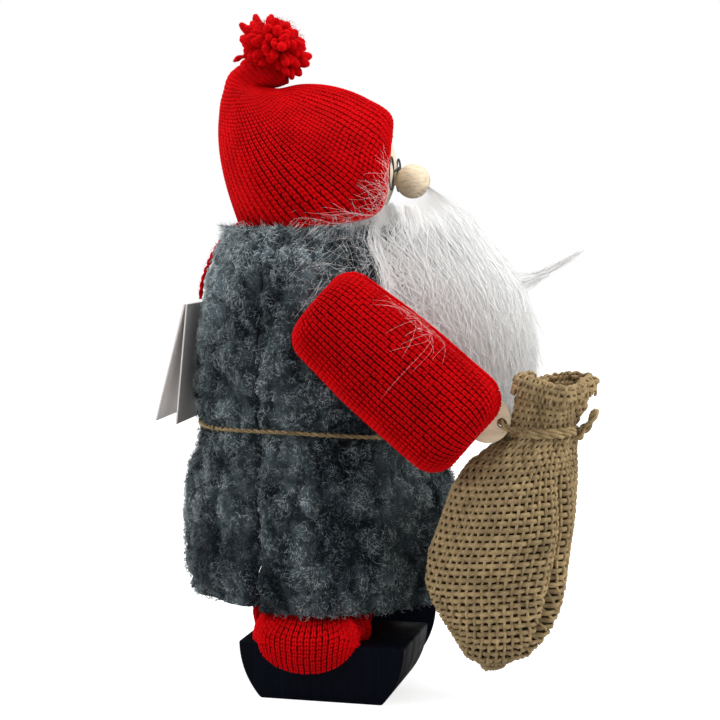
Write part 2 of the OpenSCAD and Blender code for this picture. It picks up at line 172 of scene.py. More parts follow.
def volume(points, faces):
    """Signed volume inside faces that are all triangles or all quads."""
    total = 0.0
    for k in range(1, faces.shape[1] - 1):
        a, b, c = (points[faces[:, n]] for n in (0, k, k + 1))
        total += np.einsum("ij,ij->", a, np.cross(b, c)) / 6
    return total


def mesh_piece(name, points, faces, body, material, replaces=(), tone=None):
    """A piece from points and closed faces, turned outwards, riding on a body."""
    points = np.asarray(points, float)
    groups = [np.asarray(group, int) for group in faces]
    if sum(volume(points, group) for group in groups) < 0:
        groups = [group[:, ::-1] for group in groups]
    mesh = bpy.data.meshes.new(name)
    mesh.vertices.add(len(points))
    mesh.vertices.foreach_set("co", (points + AXIS).astype(np.float32).ravel())
    corner_list = np.concatenate([group.ravel() for group in groups])
    starts, at = [], 0
    for group in groups:
        starts.append(at + np.arange(len(group)) * group.shape[1])
        at += group.size
    mesh.loops.add(len(corner_list))
    mesh.loops.foreach_set("vertex_index", corner_list.astype(np.int32))
    mesh.polygons.add(sum(len(group) for group in groups))
    mesh.polygons.foreach_set("loop_start", np.concatenate(starts).astype(np.int32))
    mesh.update(calc_edges=True)
    mesh.shade_smooth()
    if tone is not None:
        mesh.attributes.new("tone", "FLOAT", "POINT").data.foreach_set(
            "value", np.asarray(tone, np.float32))
    piece = bpy.data.objects.new(name, mesh)
    bpy.context.scene.collection.objects.link(piece)
    return dress(piece, body, material, replaces)


def dress(piece, body, material, replaces):
    """Gives a finished piece its material and its body, and hides the nodes that it stands for."""
    piece.data.materials.clear()
    piece.data.materials.append(material)
    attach(piece, body)
    if replaces:
        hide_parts(*replaces)
    return piece


def join_parts(parts):
    """Several (points, face groups, tone) parts as one."""
    points, quads, triangles, tones, at = [], [], [], [], 0
    for part_points, groups, tone in parts:
        points.append(part_points)
        tones.append(np.broadcast_to(tone, len(part_points)))
        for group in groups:
            (quads if group.shape[1] == 4 else triangles).append(group + at)
        at += len(part_points)
    groups = [np.concatenate(kind) for kind in (quads, triangles) if kind]
    return np.concatenate(points), groups, np.concatenate(tones)


def shell(outer, inner, wrap=True):
    """A closed wall between two grids of points that are alike; wrap closes them round."""
    rows, columns = outer.shape[:2]
    points = np.concatenate([outer.reshape(-1, 3), inner.reshape(-1, 3)])
    skin = grid_faces(rows, columns, wrap)
    back = rows * columns
    faces = [skin, skin[:, ::-1] + back]
    span = columns if wrap else columns - 1
    c = np.arange(span)
    d = (c + 1) % columns
    top = (rows - 1) * columns
    faces.append(np.stack([d, c, c + back, d + back], axis=1))
    faces.append(np.stack([top + c, top + d, top + d + back, top + c + back], axis=1))
    if not wrap:
        r = np.arange(rows - 1) * columns
        last = r + columns - 1
        faces.append(np.stack([r, r + columns, r + columns + back, r + back], axis=1))
        faces.append(np.stack([last + columns, last, last + back, last + columns + back], axis=1))
    return points, [np.concatenate(faces)], 0.5


def closed_skin(grid):
    """One skin round a solid: rows of rings, each end closed with a fan."""
    rows, columns = grid.shape[:2]
    points = np.concatenate([grid.reshape(-1, 3), grid[0].mean(0)[None], grid[-1].mean(0)[None]])
    c = np.arange(columns)
    d = (c + 1) % columns
    foot, head = rows * columns, rows * columns + 1
    top = (rows - 1) * columns
    fans = np.concatenate([np.stack([d, c, np.full(columns, foot)], axis=1),
                           np.stack([top + c, top + d, np.full(columns, head)], axis=1)])
    return points, [grid_faces(rows, columns, wrap=True), fans], 0.5


def strands(paths, radii, sides=3, facing=None, wide=1.0, seed=1, tone=0.5, along=0.0):
    """Closed tapered tubes: paths (n, k, 3) whose ends are points, radii (n, k).
    facing turns their flat side, wide makes them broader than thick."""
    count, stations = paths.shape[:2]
    tangent = unit(np.gradient(paths, axis=1))
    if facing is None:
        chance = np.random.default_rng(seed).normal(size=(count, 1, 3))
        chord = paths[:, -1:] - paths[:, :1]
        facing = unit(np.cross(chord, chance))
    side = unit(np.cross(tangent, facing))
    up = np.cross(side, tangent)
    turn = np.arange(sides) * TURN / sides
    inner = slice(1, stations - 1)
    spread = (np.cos(turn)[:, None] * side[:, inner, None] * wide
              + np.sin(turn)[:, None] * up[:, inner, None])
    rings = paths[:, inner, None] + spread * radii[:, inner, None, None]
    rings = rings.reshape(count, -1, 3)
    points = np.concatenate([paths[:, :1], rings, paths[:, -1:]], axis=1)
    each = points.shape[1]
    k = np.arange(sides)
    after = (k + 1) % sides
    first = np.stack([np.zeros(sides, int), 1 + after, 1 + k], axis=1)
    last_ring = 1 + (stations - 3) * sides
    last = np.stack([np.full(sides, each - 1), last_ring + k, last_ring + after], axis=1)
    offset = (np.arange(count) * each)[:, None, None]
    triangles = (np.concatenate([first, last])[None] + offset).reshape(-1, 3)
    groups = [triangles]
    if stations > 3:
        ring = np.arange(stations - 3)[:, None] * sides + 1
        quads = np.stack([ring + k, ring + after, ring + after + sides, ring + k + sides], axis=-1)
        groups.append((quads.reshape(1, -1, 4) + offset).reshape(-1, 4))
    station = np.concatenate([[0], np.repeat(np.arange(1, stations - 1), sides), [stations - 1]])
    shade = np.asarray(tone, float) * np.ones(count)
    tones = shade[:, None] + along * (station / (stations - 1) - 0.5)[None]
    return points.reshape(-1, 3), groups, tones.ravel()


def ring_cords(paths, radius, facing, sides=6, wide=1.0, tone=0.5):
    """Endless round cords: paths (n, k, 3) that close on themselves.
    facing turns their flat side, wide makes them broader than thick."""
    count, stations = paths.shape[:2]
    tangent = unit(np.roll(paths, -1, axis=1) - np.roll(paths, 1, axis=1))
    side = unit(np.cross(tangent, facing))
    up = np.cross(side, tangent)
    turn = np.arange(sides) * TURN / sides
    spread = (np.cos(turn)[:, None] * side[:, :, None] * wide
              + np.sin(turn)[:, None] * up[:, :, None])
    points = (paths[:, :, None] + spread * radius).reshape(-1, 3)
    s, k = np.meshgrid(np.arange(stations), np.arange(sides), indexing="ij")
    s_next, k_next = (s + 1) % stations, (k + 1) % sides
    quads = np.stack([s * sides + k, s * sides + k_next, s_next * sides + k_next, s_next * sides + k],
                     axis=-1).reshape(1, -1, 4)
    quads = (quads + (np.arange(count) * stations * sides)[:, None, None]).reshape(-1, 4)
    return points, [quads], np.repeat(np.asarray(tone, float) * np.ones(count), stations * sides)


TWINE_PLIES = 2
TWINE_LAY = 3.4     # length of one turn of a ply, in thicknesses of the twine


def twine_parts(path, radius):
    """Plied twine along a path of points: each ply winds round the line."""
    path = np.asarray(path, float)
    tangent = unit(np.gradient(path, axis=0))
    side = np.empty_like(path)
    carried = unit(np.cross(tangent[0], [0.31, 0.2, 0.93]))     # any direction that isn't along it
    for i, direction in enumerate(tangent):
        carried = unit(carried - direction * (carried @ direction))
        side[i] = carried
    up = np.cross(tangent, side)
    run = np.concatenate([[0], np.cumsum(np.linalg.norm(np.diff(path, axis=0), axis=1))])
    turn = ((run / (TWINE_LAY * 2 * radius) * TURN)[None]
            + np.arange(TWINE_PLIES)[:, None] * TURN / TWINE_PLIES)
    fuzz = np.random.default_rng(5).normal(0, 0.05 * radius, (TWINE_PLIES, len(path), 3))
    wound = (np.cos(turn)[..., None] * side + np.sin(turn)[..., None] * up) * (radius * 0.5)
    widths = np.full((TWINE_PLIES, len(path)), radius * 0.56)
    return strands(path + wound + fuzz, widths, sides=6, tone=np.linspace(0.4, 0.6, TWINE_PLIES))


def loose_fibres(path, radius, count, length, thin, seed):
    """Short hairs that stand off a cord."""
    rng = np.random.default_rng(seed)
    path = np.asarray(path, float)
    at = rng.integers(1, len(path) - 1, count)
    tangent = unit(path[at + 1] - path[at - 1])
    out = unit(np.cross(tangent, rng.normal(size=(count, 3))))
    root = path[at] + out * radius * 0.7
    reach = length * rng.uniform(0.5, 1.3, (count, 1))
    lean = unit(tangent * rng.uniform(-1, 1, (count, 1)) + out * 0.6)
    middle = root + lean * reach * 0.5
    tip = middle + unit(lean + rng.normal(0, 0.5, (count, 3))) * reach * 0.5
    return strands(np.stack([root, middle, tip], axis=1), np.full((count, 3), thin), tone=0.6)


# A stitch's lobe: where its points stand along it and how high, and its size in stitch widths
LOBE_STATIONS = np.array([0, 0.3, 0.72, 1])
LOBE_HEIGHTS = np.array([-0.45, 0.8, 0.9, -0.4])
LOBE_RADIUS = 0.215
LOBE_RISE = 0.2


def knit_parts(surface, wales, courses, keep=None):
    """Stocking stitch over surface(across, along): two leaning lobes for each stitch.
    across runs 0 to 1 round the piece and along runs 0 to 1 down it."""
    i, j = np.meshgrid(np.arange(wales), np.arange(courses), indexing="ij")
    i, j = i.ravel(), j.ravel()
    if keep is not None:
        chosen = keep((i + 0.5) / wales, (j + 0.5) / courses)
        i, j = i[chosen], j[chosen]
    wander = np.random.default_rng(wales).normal(0, 0.035, (2, len(i), 1))
    parts = []
    for lean in (-1, 1):
        across = (i[:, None] + 0.5 + lean * (0.1 + 0.17 * LOBE_STATIONS) + wander[0]) / wales
        along = np.clip((j[:, None] - 0.2 + 1.4 * LOBE_STATIONS + wander[1]) / courses, 0, 1)
        place = surface(across, along)
        beside = surface(across + 0.5 / wales, along) - place
        further = surface(across, np.minimum(along + 0.5 / courses, 1.0)) - place
        short = np.linalg.norm(further, axis=-1, keepdims=True) < 1e-7
        further = np.where(short, place - surface(across, along - 0.5 / courses), further)
        normal = unit(np.cross(further, beside))
        width = 2 * np.linalg.norm(beside, axis=-1)
        path = place + normal * (LOBE_HEIGHTS * LOBE_RISE * width)[..., None]
        parts.append(strands(path, LOBE_RADIUS * width, sides=5, facing=normal))
    return parts


def outward(surface, across, along):
    """1 if knit_parts' normals point away from the middle of a surface, else -1."""
    place = surface(across, along)
    beside = surface(across + 0.01, along) - place
    further = surface(across, along + 0.01) - place
    normal = np.cross(further, beside)
    return np.sign(((place - place.mean(0)) * normal).sum())


def turned_out(surface, u, v):
    """The surface, mirrored if need be, so that knit_parts' stitches stand on its outside."""
    sign = outward(surface, u.ravel(), np.clip(v.ravel(), 0, 0.98))
    return surface if sign > 0 else (lambda across, along: surface(-across, along))


# ---------------------------------------------------------------- materials

class Finish:
    """A material in the making: put() adds one shader node and wires what feeds it."""

    def __init__(self, name, roughness, **constants):
        self.material = bpy.data.materials.new(name)
        self.material.use_nodes = True
        self.tree = self.material.node_tree
        self.shader = self.tree.nodes["Principled BSDF"]
        self.shader.inputs["Roughness"].default_value = roughness
        for socket, value in constants.items():
            self.shader.inputs[socket.replace("_", " ")].default_value = value

    def put(self, kind, feeds=None, **settings):
        """A new shader node: feeds are sockets or values for its inputs."""
        made = self.tree.nodes.new("ShaderNode" + kind)
        for name, value in settings.items():
            setattr(made, name, value)
        for name, value in (feeds or {}).items():
            if isinstance(value, bpy.types.NodeSocket):
                self.tree.links.new(value, made.inputs[name])
            else:
                made.inputs[name].default_value = value
        return made

    def place(self, stretch=(1, 1, 1)):
        """The piece's own coordinates, stretched."""
        source = self.put("TexCoord").outputs["Object"]
        return self.put("Mapping", {"Vector": source, "Scale": stretch}).outputs[0]

    def noise(self, size, detail, stretch=(1, 1, 1)):
        """Noise whose lumps are about size metres."""
        return self.put("TexNoise", {"Vector": self.place(stretch), "Scale": 1 / size,
                                     "Detail": detail, "Roughness": 0.55}).outputs["Fac"]

    def maths(self, operation, a, b):
        return self.put("Math", {0: a, 1: b}, operation=operation).outputs[0]

    def blend(self, a, b, share):
        """Two values added, share of the first and the rest of the second."""
        return self.maths("ADD", self.maths("MULTIPLY", a, share), self.maths("MULTIPLY", b, 1 - share))

    def spread(self, socket, low, high, start, end):
        """A value between low and high brought to between start and end."""
        return self.put("MapRange", {0: socket, 1: low, 2: high, 3: start, 4: end}).outputs[0]

    def tone(self):
        """The shade that a strand's own attribute holds."""
        return self.put("Attribute", attribute_name="tone").outputs["Fac"]

    def ramp(self, factor, *stops):
        """Colours along a factor: (position, (r, g, b)) pairs."""
        made = self.put("ValToRGB", {"Fac": factor})
        elements = made.color_ramp.elements
        while len(elements) < len(stops):
            elements.new(0.5)
        for element, (position, colour) in zip(elements, stops):
            element.position = position
            element.color = (*colour, 1)
        return made.outputs["Color"]

    def colour(self, socket):
        self.tree.links.new(socket, self.shader.inputs["Base Color"])

    def bump(self, height, distance, strength=1.0):
        made = self.put("Bump", {"Height": height, "Distance": distance, "Strength": strength})
        self.tree.links.new(made.outputs[0], self.shader.inputs["Normal"])

    def rough(self, socket):
        self.tree.links.new(socket, self.shader.inputs["Roughness"])


def shade(colour, factor):
    """A colour made darker or lighter."""
    return tuple(min(1.0, c * factor) for c in colour)


def material_for(name, make):
    """The material of a name, made once."""
    return bpy.data.materials.get(name) or make(name)


def wool(name, colour):
    """Brushed wool: fine fibres, with the colour slightly uneven."""
    finish = Finish(name, 0.9, Sheen_Weight=0.12, Sheen_Roughness=0.4, Sheen_Tint=(1.0, 0.06, 0.05, 1))
    finish.shader.inputs["Specular IOR Level"].default_value = 0.05
    patches = finish.noise(9 * MM, 2)
    fibres = finish.noise(0.35 * MM, 3)
    finish.colour(finish.ramp(finish.blend(patches, fibres, 0.45), (0.3, shade(colour, 0.62)),
                              (0.52, shade(colour, 1.0)), (0.72, shade(colour, 1.18))))
    finish.bump(fibres, 0.25 * MM, 0.7)
    return finish.material


def red_wool():
    colour = tuple(bpy.context.scene.tomte_knit.colour)
    return material_for("red wool", lambda name: wool(name, colour))


def gap_shade_wool():
    """Red wool at half its brightness: painted shade for the wool seen deep between the stitches."""
    colour = tuple(bpy.context.scene.tomte_knit.colour)
    return material_for("dark red wool", lambda name: wool(name, shade(colour, 0.5)))


def fleece(name, colours, tips=True):
    """Mottled teddy pile: dark mottling, blue-grey curls and pale ends, with painted shade in the creases, a
    painted highlight towards the collar and the cloth under the pile painted darker as shade.
    """
    finish = Finish(name, 0.85, Sheen_Weight=0.12, Sheen_Roughness=0.35)
    finish.shader.inputs["Specular IOR Level"].default_value = 0.1
    patches = finish.noise(16 * MM, 3, (1, 1, 0.6))
    curls = finish.noise(4.5 * MM, 3, (1, 1, 0.5))
    height = finish.put("SeparateXYZ", {"Vector": finish.place()}).outputs["Z"]
    collar = finish.spread(height, 120 * MM, 158 * MM, 0.0, 0.2)      # painted highlight: paler towards the collar, lit from above
    mix = finish.maths("ADD", finish.maths("MULTIPLY", patches, 1.3), finish.maths("MULTIPLY", curls, 0.6))
    mix = finish.maths("ADD", mix, collar)
    if tips:
        own = finish.maths("MULTIPLY", finish.tone(), 0.8)
        mix = finish.maths("SUBTRACT", finish.maths("ADD", mix, own), 0.78)
    else:
        # The cloth under the pile is painted darker than the fibres, as shade beneath the pile.
        mix = finish.maths("SUBTRACT", mix, 0.75)
        finish.bump(finish.noise(0.9 * MM, 4), 0.8 * MM, 0.8)
    finish.colour(finish.ramp(mix, *colours))
    return finish.material


def hair(name, colour):
    """Long wool hair, with streaks along each lock from its own shade."""
    finish = Finish(name, 0.75, Sheen_Weight=0.2)
    finish.shader.inputs["Specular IOR Level"].default_value = 0.1
    finish.shader.inputs["Emission Color"].default_value = (1, 1, 1, 1)
    finish.shader.inputs["Emission Strength"].default_value = 0.055     # painted light: a faint white glow that lifts the shade between the hairs
    streaks = finish.noise(5 * MM, 3, (1, 1, 0.25))
    finish.colour(finish.ramp(finish.blend(finish.tone(), streaks, 0.7), (0.1, shade(colour, 0.92)),
                              (0.5, shade(colour, 1.0)), (0.85, shade(colour, 1.06))))
    return finish.material


def white_hair():
    colour = tuple(bpy.context.scene.tomte_hair.colour)
    return material_for("white hair", lambda name: hair(name, colour))


def stuffing(name):
    """Loose white wadding."""
    finish = Finish(name, 0.95)
    lumps = finish.noise(3 * MM, 5)
    # The colour follows the same lumps as the bump: painted shade, darker where the lumps sink.
    finish.colour(finish.ramp(lumps, (0.3, (0.62, 0.61, 0.58)), (0.7, (0.85, 0.84, 0.81))))
    finish.bump(lumps, 1.5 * MM)
    return finish.material


def jute(name, colour, grain=0.3 * MM):
    """Dry bast fibre: brown flecks and straw lights."""
    finish = Finish(name, 0.9)
    finish.shader.inputs["Specular IOR Level"].default_value = 0.12
    patches = finish.noise(7 * MM, 3)
    fibres = finish.noise(grain, 4)
    own = finish.maths("MULTIPLY", finish.maths("SUBTRACT", finish.tone(), 0.5), 0.4)
    mix = finish.maths("ADD", finish.blend(patches, fibres, 0.5), own)
    finish.colour(finish.ramp(mix, (0.28, shade(colour, 0.32)), (0.44, shade(colour, 0.8)),
                              (0.58, shade(colour, 1.1)), (0.75, shade(colour, 1.55))))
    finish.bump(fibres, 0.3 * MM, 0.9)
    return finish.material


def birch(name, colour, along, contrast=1.0):
    """Pale wood: soft rings, fine pores and a satin surface, its grain stretched by along."""
    finish = Finish(name, 0.5)
    rings = finish.noise(2.2 * MM, 2, along)
    pores = finish.noise(0.35 * MM, 4, along)
    dark = shade(colour, 1 - 0.38 * contrast)
    finish.colour(finish.ramp(finish.blend(rings, pores, 0.65), (0.34, dark), (0.5, colour),
                              (0.68, shade(colour, 1.12))))
    finish.bump(pores, 0.08 * MM, 0.5)
    finish.rough(finish.spread(pores, 0.3, 0.7, 0.42, 0.62))
    return finish.material


def painted_wood(name, colour):
    """Dark paint over sawn wood: upright saw lines show through."""
    finish = Finish(name, 0.45)
    finish.shader.inputs["Specular IOR Level"].default_value = 0.04
    lines = finish.noise(0.7 * MM, 3, (1, 1, 0.03))
    broad = finish.noise(6 * MM, 2, (1, 1, 0.2))
    finish.colour(finish.ramp(finish.blend(lines, broad, 0.6), (0.35, shade(colour, 0.55)), (0.55, colour),
                              (0.75, shade(colour, 1.6))))
    finish.bump(lines, 0.18 * MM, 0.6)
    finish.rough(finish.spread(broad, 0.3, 0.7, 0.36, 0.6))
    return finish.material


def drawn_wire(name, colour, roughness, metallic):
    """Wire with faint die marks."""
    finish = Finish(name, roughness, Metallic=metallic)
    marks = finish.noise(0.4 * MM, 3)
    finish.colour(finish.ramp(marks, (0.3, shade(colour, 0.7)), (0.7, shade(colour, 1.2))))
    finish.bump(marks, 0.03 * MM, 0.3)
    return finish.material


def card_stock(name, colour):
    """Smooth card with a faint fibre and a warmer cloud here and there."""
    finish = Finish(name, 0.6)
    cloud = finish.noise(12 * MM, 3)
    fibre = finish.noise(0.5 * MM, 3)
    finish.colour(finish.ramp(finish.blend(cloud, fibre, 0.6), (0.3, shade(colour, 0.86)),
                              (0.7, shade(colour, 1.04))))
    finish.bump(fibre, 0.03 * MM, 0.4)
    return finish.material


# ---------------------------------------------------------------- sizes and colours

def length_property(name, description, default):
    return bpy.props.FloatProperty(name=name, description=description, default=default,
                                   min=0.0, unit="LENGTH", subtype="DISTANCE", precision=5)


def colour_property(name, description, default):
    return bpy.props.FloatVectorProperty(name=name, description=description, default=default,
                                         min=0.0, max=1.0, subtype="COLOR")


class KnitSettings(bpy.types.PropertyGroup):
    """Gauge and colour of the red stocking stitch."""
    hat_wales: bpy.props.IntProperty(name="Hat Wales", description="Columns of stitches round the hat",
                                     default=78, min=20)
    hat_courses: bpy.props.IntProperty(name="Hat Courses", description="Rows of stitches from tip to brim",
                                       default=50, min=10)
    sleeve_wales: bpy.props.IntProperty(name="Sleeve Wales", description="Columns round a sleeve",
                                        default=54, min=12)
    sleeve_courses: bpy.props.IntProperty(name="Sleeve Courses", description="Rows along a sleeve",
                                          default=54, min=10)
    leg_wales: bpy.props.IntProperty(name="Leg Wales", description="Columns round a trouser leg",
                                     default=58, min=12)
    leg_courses: bpy.props.IntProperty(name="Leg Courses", description="Rows down a trouser leg",
                                       default=26, min=6)
    colour: colour_property("Red Wool", "Colour of the knitted wool", (0.60, 0.0012, 0.0035))


class FleeceSettings(bpy.types.PropertyGroup):
    """Pile of the vest."""
    hairs: bpy.props.IntProperty(name="Hairs", description="Fibres on each half of a vest panel",
                                 default=24000, min=100)
    hair_length: length_property("Pile Length", "Length of a fibre", 2.7 * MM)
    hair_width: length_property("Fibre Radius", "Thickest radius of a fibre", 0.095 * MM)
    lump: length_property("Tuft Height", "How far the tufts stand out of the cloth", 1.1 * MM)
    # The hollows' colour serves for dark mottling and for painted shade between the curls; the tips' colour
    # serves for pale ends and for painted highlights.
    dark: colour_property("Mottling and Shade", "Colour of the dark mottling and of the painted shade between the curls", (0.008, 0.013, 0.017))
    middle: colour_property("Curls", "Colour of the curls", (0.122, 0.166, 0.184))
    light: colour_property("Tips and Highlights", "Colour of the palest ends and of the painted highlights", (0.56, 0.64, 0.66))


class HairSettings(bpy.types.PropertyGroup):
    """Beard and moustache."""
    locks: bpy.props.IntProperty(name="Beard Hairs", description="Hairs in each layer of the beard",
                                 default=3500, min=50)
    hair_width: length_property("Hair Radius", "Thickest radius of a drawn hair", 0.105 * MM)
    colour: colour_property("White Hair", "Colour of the beard", (0.92, 0.92, 0.91))


class SackSettings(bpy.types.PropertyGroup):
    """Weave of the sack."""
    warps: bpy.props.IntProperty(name="Warps", description="Upright yarns round the sack",
                                 default=58, min=8)
    pitch: length_property("Weft Pitch", "Distance between cross yarns", 2.25 * MM)
    yarn: length_property("Yarn Radius", "Half the thickness of a yarn", 0.56 * MM)
    colour: colour_property("Burlap", "Colour of the sack's yarn", (0.345, 0.25, 0.13))


class WoodSettings(bpy.types.PropertyGroup):
    """Wooden pieces and their paint."""
    shoe_edge: length_property("Shoe Edge", "Rounding of the shoes' edges", 0.9 * MM)
    birch: colour_property("Birch", "Colour of the hands and the nose", (0.80, 0.66, 0.46))
    paint: colour_property("Shoe Paint", "Colour of the shoes", (0.0016, 0.0026, 0.0065))


class StageSettings(bpy.types.PropertyGroup):
    """Camera and room."""
    camera_away: length_property("Camera Distance", "Distance from the body's axis", 0.6)
    camera_height: length_property("Camera Height", "Height of the lens", 0.155)
    azimuth: bpy.props.FloatProperty(name="Azimuth", description="Side that the camera stands on",
                                     default=math.radians(-80), subtype="ANGLE", unit="ROTATION")
    lens: bpy.props.FloatProperty(name="Lens", description="Focal length in millimetres", default=85.0)


SETTINGS = {"tomte_knit": KnitSettings, "tomte_fleece": FleeceSettings, "tomte_hair": HairSettings,
            "tomte_sack": SackSettings, "tomte_wood": WoodSettings, "tomte_stage": StageSettings}


# ---------------------------------------------------------------- the figure's own surfaces

HEAD_LOW, HEAD_HIGH = corners("head")
HEAD = (HEAD_LOW + HEAD_HIGH) / 2
VEST_LEVELS, VEST_RADII = level_rows(node_points("vest_front", "vest_back"),
                                     lambda p: np.hypot(p[:, 0], p[:, 1]).max())
HEM, COLLAR = VEST_LEVELS[0], VEST_LEVELS[-1]
# Levels where only the inside of the wall has vertices are left out
OUTSIDE = np.array([radius > VEST_RADII[np.abs(VEST_LEVELS - level) < 6 * MM].max() - 3.2 * MM
                    for level, radius in zip(VEST_LEVELS, VEST_RADII)])
VEST_LEVELS, VEST_RADII = VEST_LEVELS[OUTSIDE], VEST_RADII[OUTSIDE]
SEAM_Y = corners("vest_back")[0][1] - 7 * MM
BELT_Z = float(corners("belt")[0][2] + corners("belt")[1][2]) / 2
BACK_SHORTER = 2.0 * MM     # how much higher the back panel's hem hangs
PILE = 1.5 * MM             # depth of the vest's cloth under its outer size
ARM_PIVOT = joint_place("right_arm_swing")
SLEEVE_DROOP = math.radians(40.6)
HOLE = joint_place("sack_swing")


def billow(place):
    """Pillows of pile, -0.7 to 0.3, with narrow creases between."""
    creases = (np.exp(-(ripple(place, 19 * MM, 4) / 0.26) ** 2)
               + np.exp(-(ripple(place, 15 * MM, 14) / 0.2) ** 2))
    return 0.3 - np.minimum(creases, 1.3)


def vest_skin(around, height):
    """The vest's cloth under its pile, at an angle round the body and a height."""
    radius = np.interp(height, VEST_LEVELS, VEST_RADII) - PILE
    place = np.stack([radius * np.sin(around), -radius * np.cos(around), height], axis=-1)
    lump = bpy.context.scene.tomte_fleece.lump
    tufts = 0.5 * ripple(place, 18 * MM, 3) + 2.1 * billow(place) + 0.25 * ripple(place, 5 * MM, 5)
    belt = np.exp(-((height - BELT_Z) / (7 * MM)) ** 2)
    pleat = belt * (0.8 * np.sin(23 * around + 2 * ripple(place, 20 * MM, 6)) - 0.9) * MM
    off_seam = np.minimum(np.abs(half_turn(around - seam_angle(height))),
                          np.abs(half_turn(around + seam_angle(height))))
    groove = ease(BELT_Z - height, -6 * MM, 4 * MM) * 0.75 + 0.25
    seam = -2.2 * MM * groove * np.exp(-(off_seam * radius / (2.2 * MM)) ** 2)
    out = lump * tufts + pleat + seam
    place[..., 0] += out * np.sin(around)
    place[..., 1] -= out * np.cos(around)
    return place


def seam_angle(height):
    """Angle of the side seam from the front, at a height."""
    radius = np.interp(height, VEST_LEVELS, VEST_RADII)
    return math.pi - np.arccos(np.clip(SEAM_Y / radius, -1, 1))


def skin_normal(surface, u, v, step_u, step_v, inside):
    """Outward normals of surface(u, v); inside is a point or points within."""
    place = surface(u, v)
    normal = unit(np.cross(surface(u + step_u, v) - place, surface(u, v + step_v) - place))
    return normal * np.sign(((place - inside) * normal).sum(-1, keepdims=True))


# Side views of five lines of stitches on the hat, from the gathered tip to the brim: each
# point is (out to the side, forward, up) in millimetres from the middle of the head
HAT_STEPS = [0.0, 0.07, 0.15, 0.24, 0.38, 0.55, 0.75, 0.9, 1.0]
HAT_LINES = {
    0: [(0, -13.5, 29.4), (0, -17.5, 28.2), (0, -21.5, 28.2), (0, -17, 27.2), (0, -9, 28.4),
        (0, 1.5, 27.6), (0, 14, 23), (0, 22.4, 17), (0, 22.6, 10.5)],
    45: [(2.6, -13.8, 31), (5.5, -19, 30), (8, -24.5, 28.2), (11, -21, 25.4), (16, -12.5, 22.4),
         (20.5, -2.5, 17.7), (23.5, 8.5, 12), (23, 19, 5), (20, 24, 0.5)],
    90: [(3.6, -14, 32.5), (7.2, -21, 32), (10, -26.5, 28.5), (14.5, -24.5, 24.5), (22, -17.5, 17.2),
         (29, -8.5, 9), (32, 3, 0), (30.5, 14.5, -9.5), (27, 20.8, -16)],
    135: [(2.6, -14.5, 34.2), (5.6, -23.5, 35.4), (8, -30.8, 31.5), (12, -31.2, 25), (18.5, -28.5, 15.5),
          (25.5, -24.2, 4.5), (30.5, -17.5, -7.5), (31, -10.5, -17), (29.5, -7, -20.5)],
    180: [(0, -15, 35.2), (0, -25, 37.8), (0, -33.6, 33.5), (0, -36.5, 26), (0, -37.6, 17.5),
          (0, -37.3, 8), (0, -34.9, -4.5), (0, -31.9, -14.5), (0, -29.9, -20.5)],
}


def hat_skin(across, along):
    """The hat's knit; across 0 is the front line and 0.5 the back, along runs tip to brim."""
    turns = [-90, -45, 0, 45, 90, 135, 180, 225, 270, 315, 360, 405, 450]
    lines = []
    for turn in turns:
        folded = abs((turn + 180) % 360 - 180)
        side = 1 if turn % 360 <= 180 else -1
        table = np.array(HAT_LINES[folded], float) * MM
        lines.append(np.stack([side * table[:, 0], -table[:, 1], table[:, 2]], axis=1))
    across, along = np.broadcast_arrays(np.asarray(across, float) % 1.0, np.asarray(along, float))
    at = np.stack([through(HAT_STEPS, line, along) for line in lines], axis=0)
    knots = np.array(turns) / 360
    i = np.clip(np.searchsorted(knots, across, side="right") - 1, 1, len(knots) - 3)
    s = ((across - knots[i]) / (knots[1] - knots[0]))[..., None]
    a, b, c, d = (np.take_along_axis(at, (i + k)[None, ..., None], axis=0)[0] for k in (-1, 0, 1, 2))
    place = 0.5 * (2 * b + (c - a) * s + (2 * a - 5 * b + 4 * c - d) * s ** 2
                   + (3 * b - a - 3 * c + d) * s ** 3)
    # The brim sits a little askew, further back on the left
    place[..., 1] += 0.25 * np.maximum(place[..., 0], 0) * ease(along, 0.6, 1.0)
    return place + HEAD


def steady_normal(surface, u, v):
    """Outward normals of a surface that folds over itself, from its winding alone."""
    place = surface(u, v)
    beside, further = surface(u + 0.004, v) - place, surface(u, v + 0.006) - place
    return unit(np.cross(further, beside)) * outward(surface, u.ravel(), np.clip(v.ravel(), 0, 0.98))


def sleeve_ways():
    """Directions down a sleeve to its cuff and square to it, up from its underside."""
    cos, sin = math.cos(SLEEVE_DROOP), math.sin(SLEEVE_DROOP)
    return np.array([0, -cos, -sin]), np.array([0, -sin, cos])


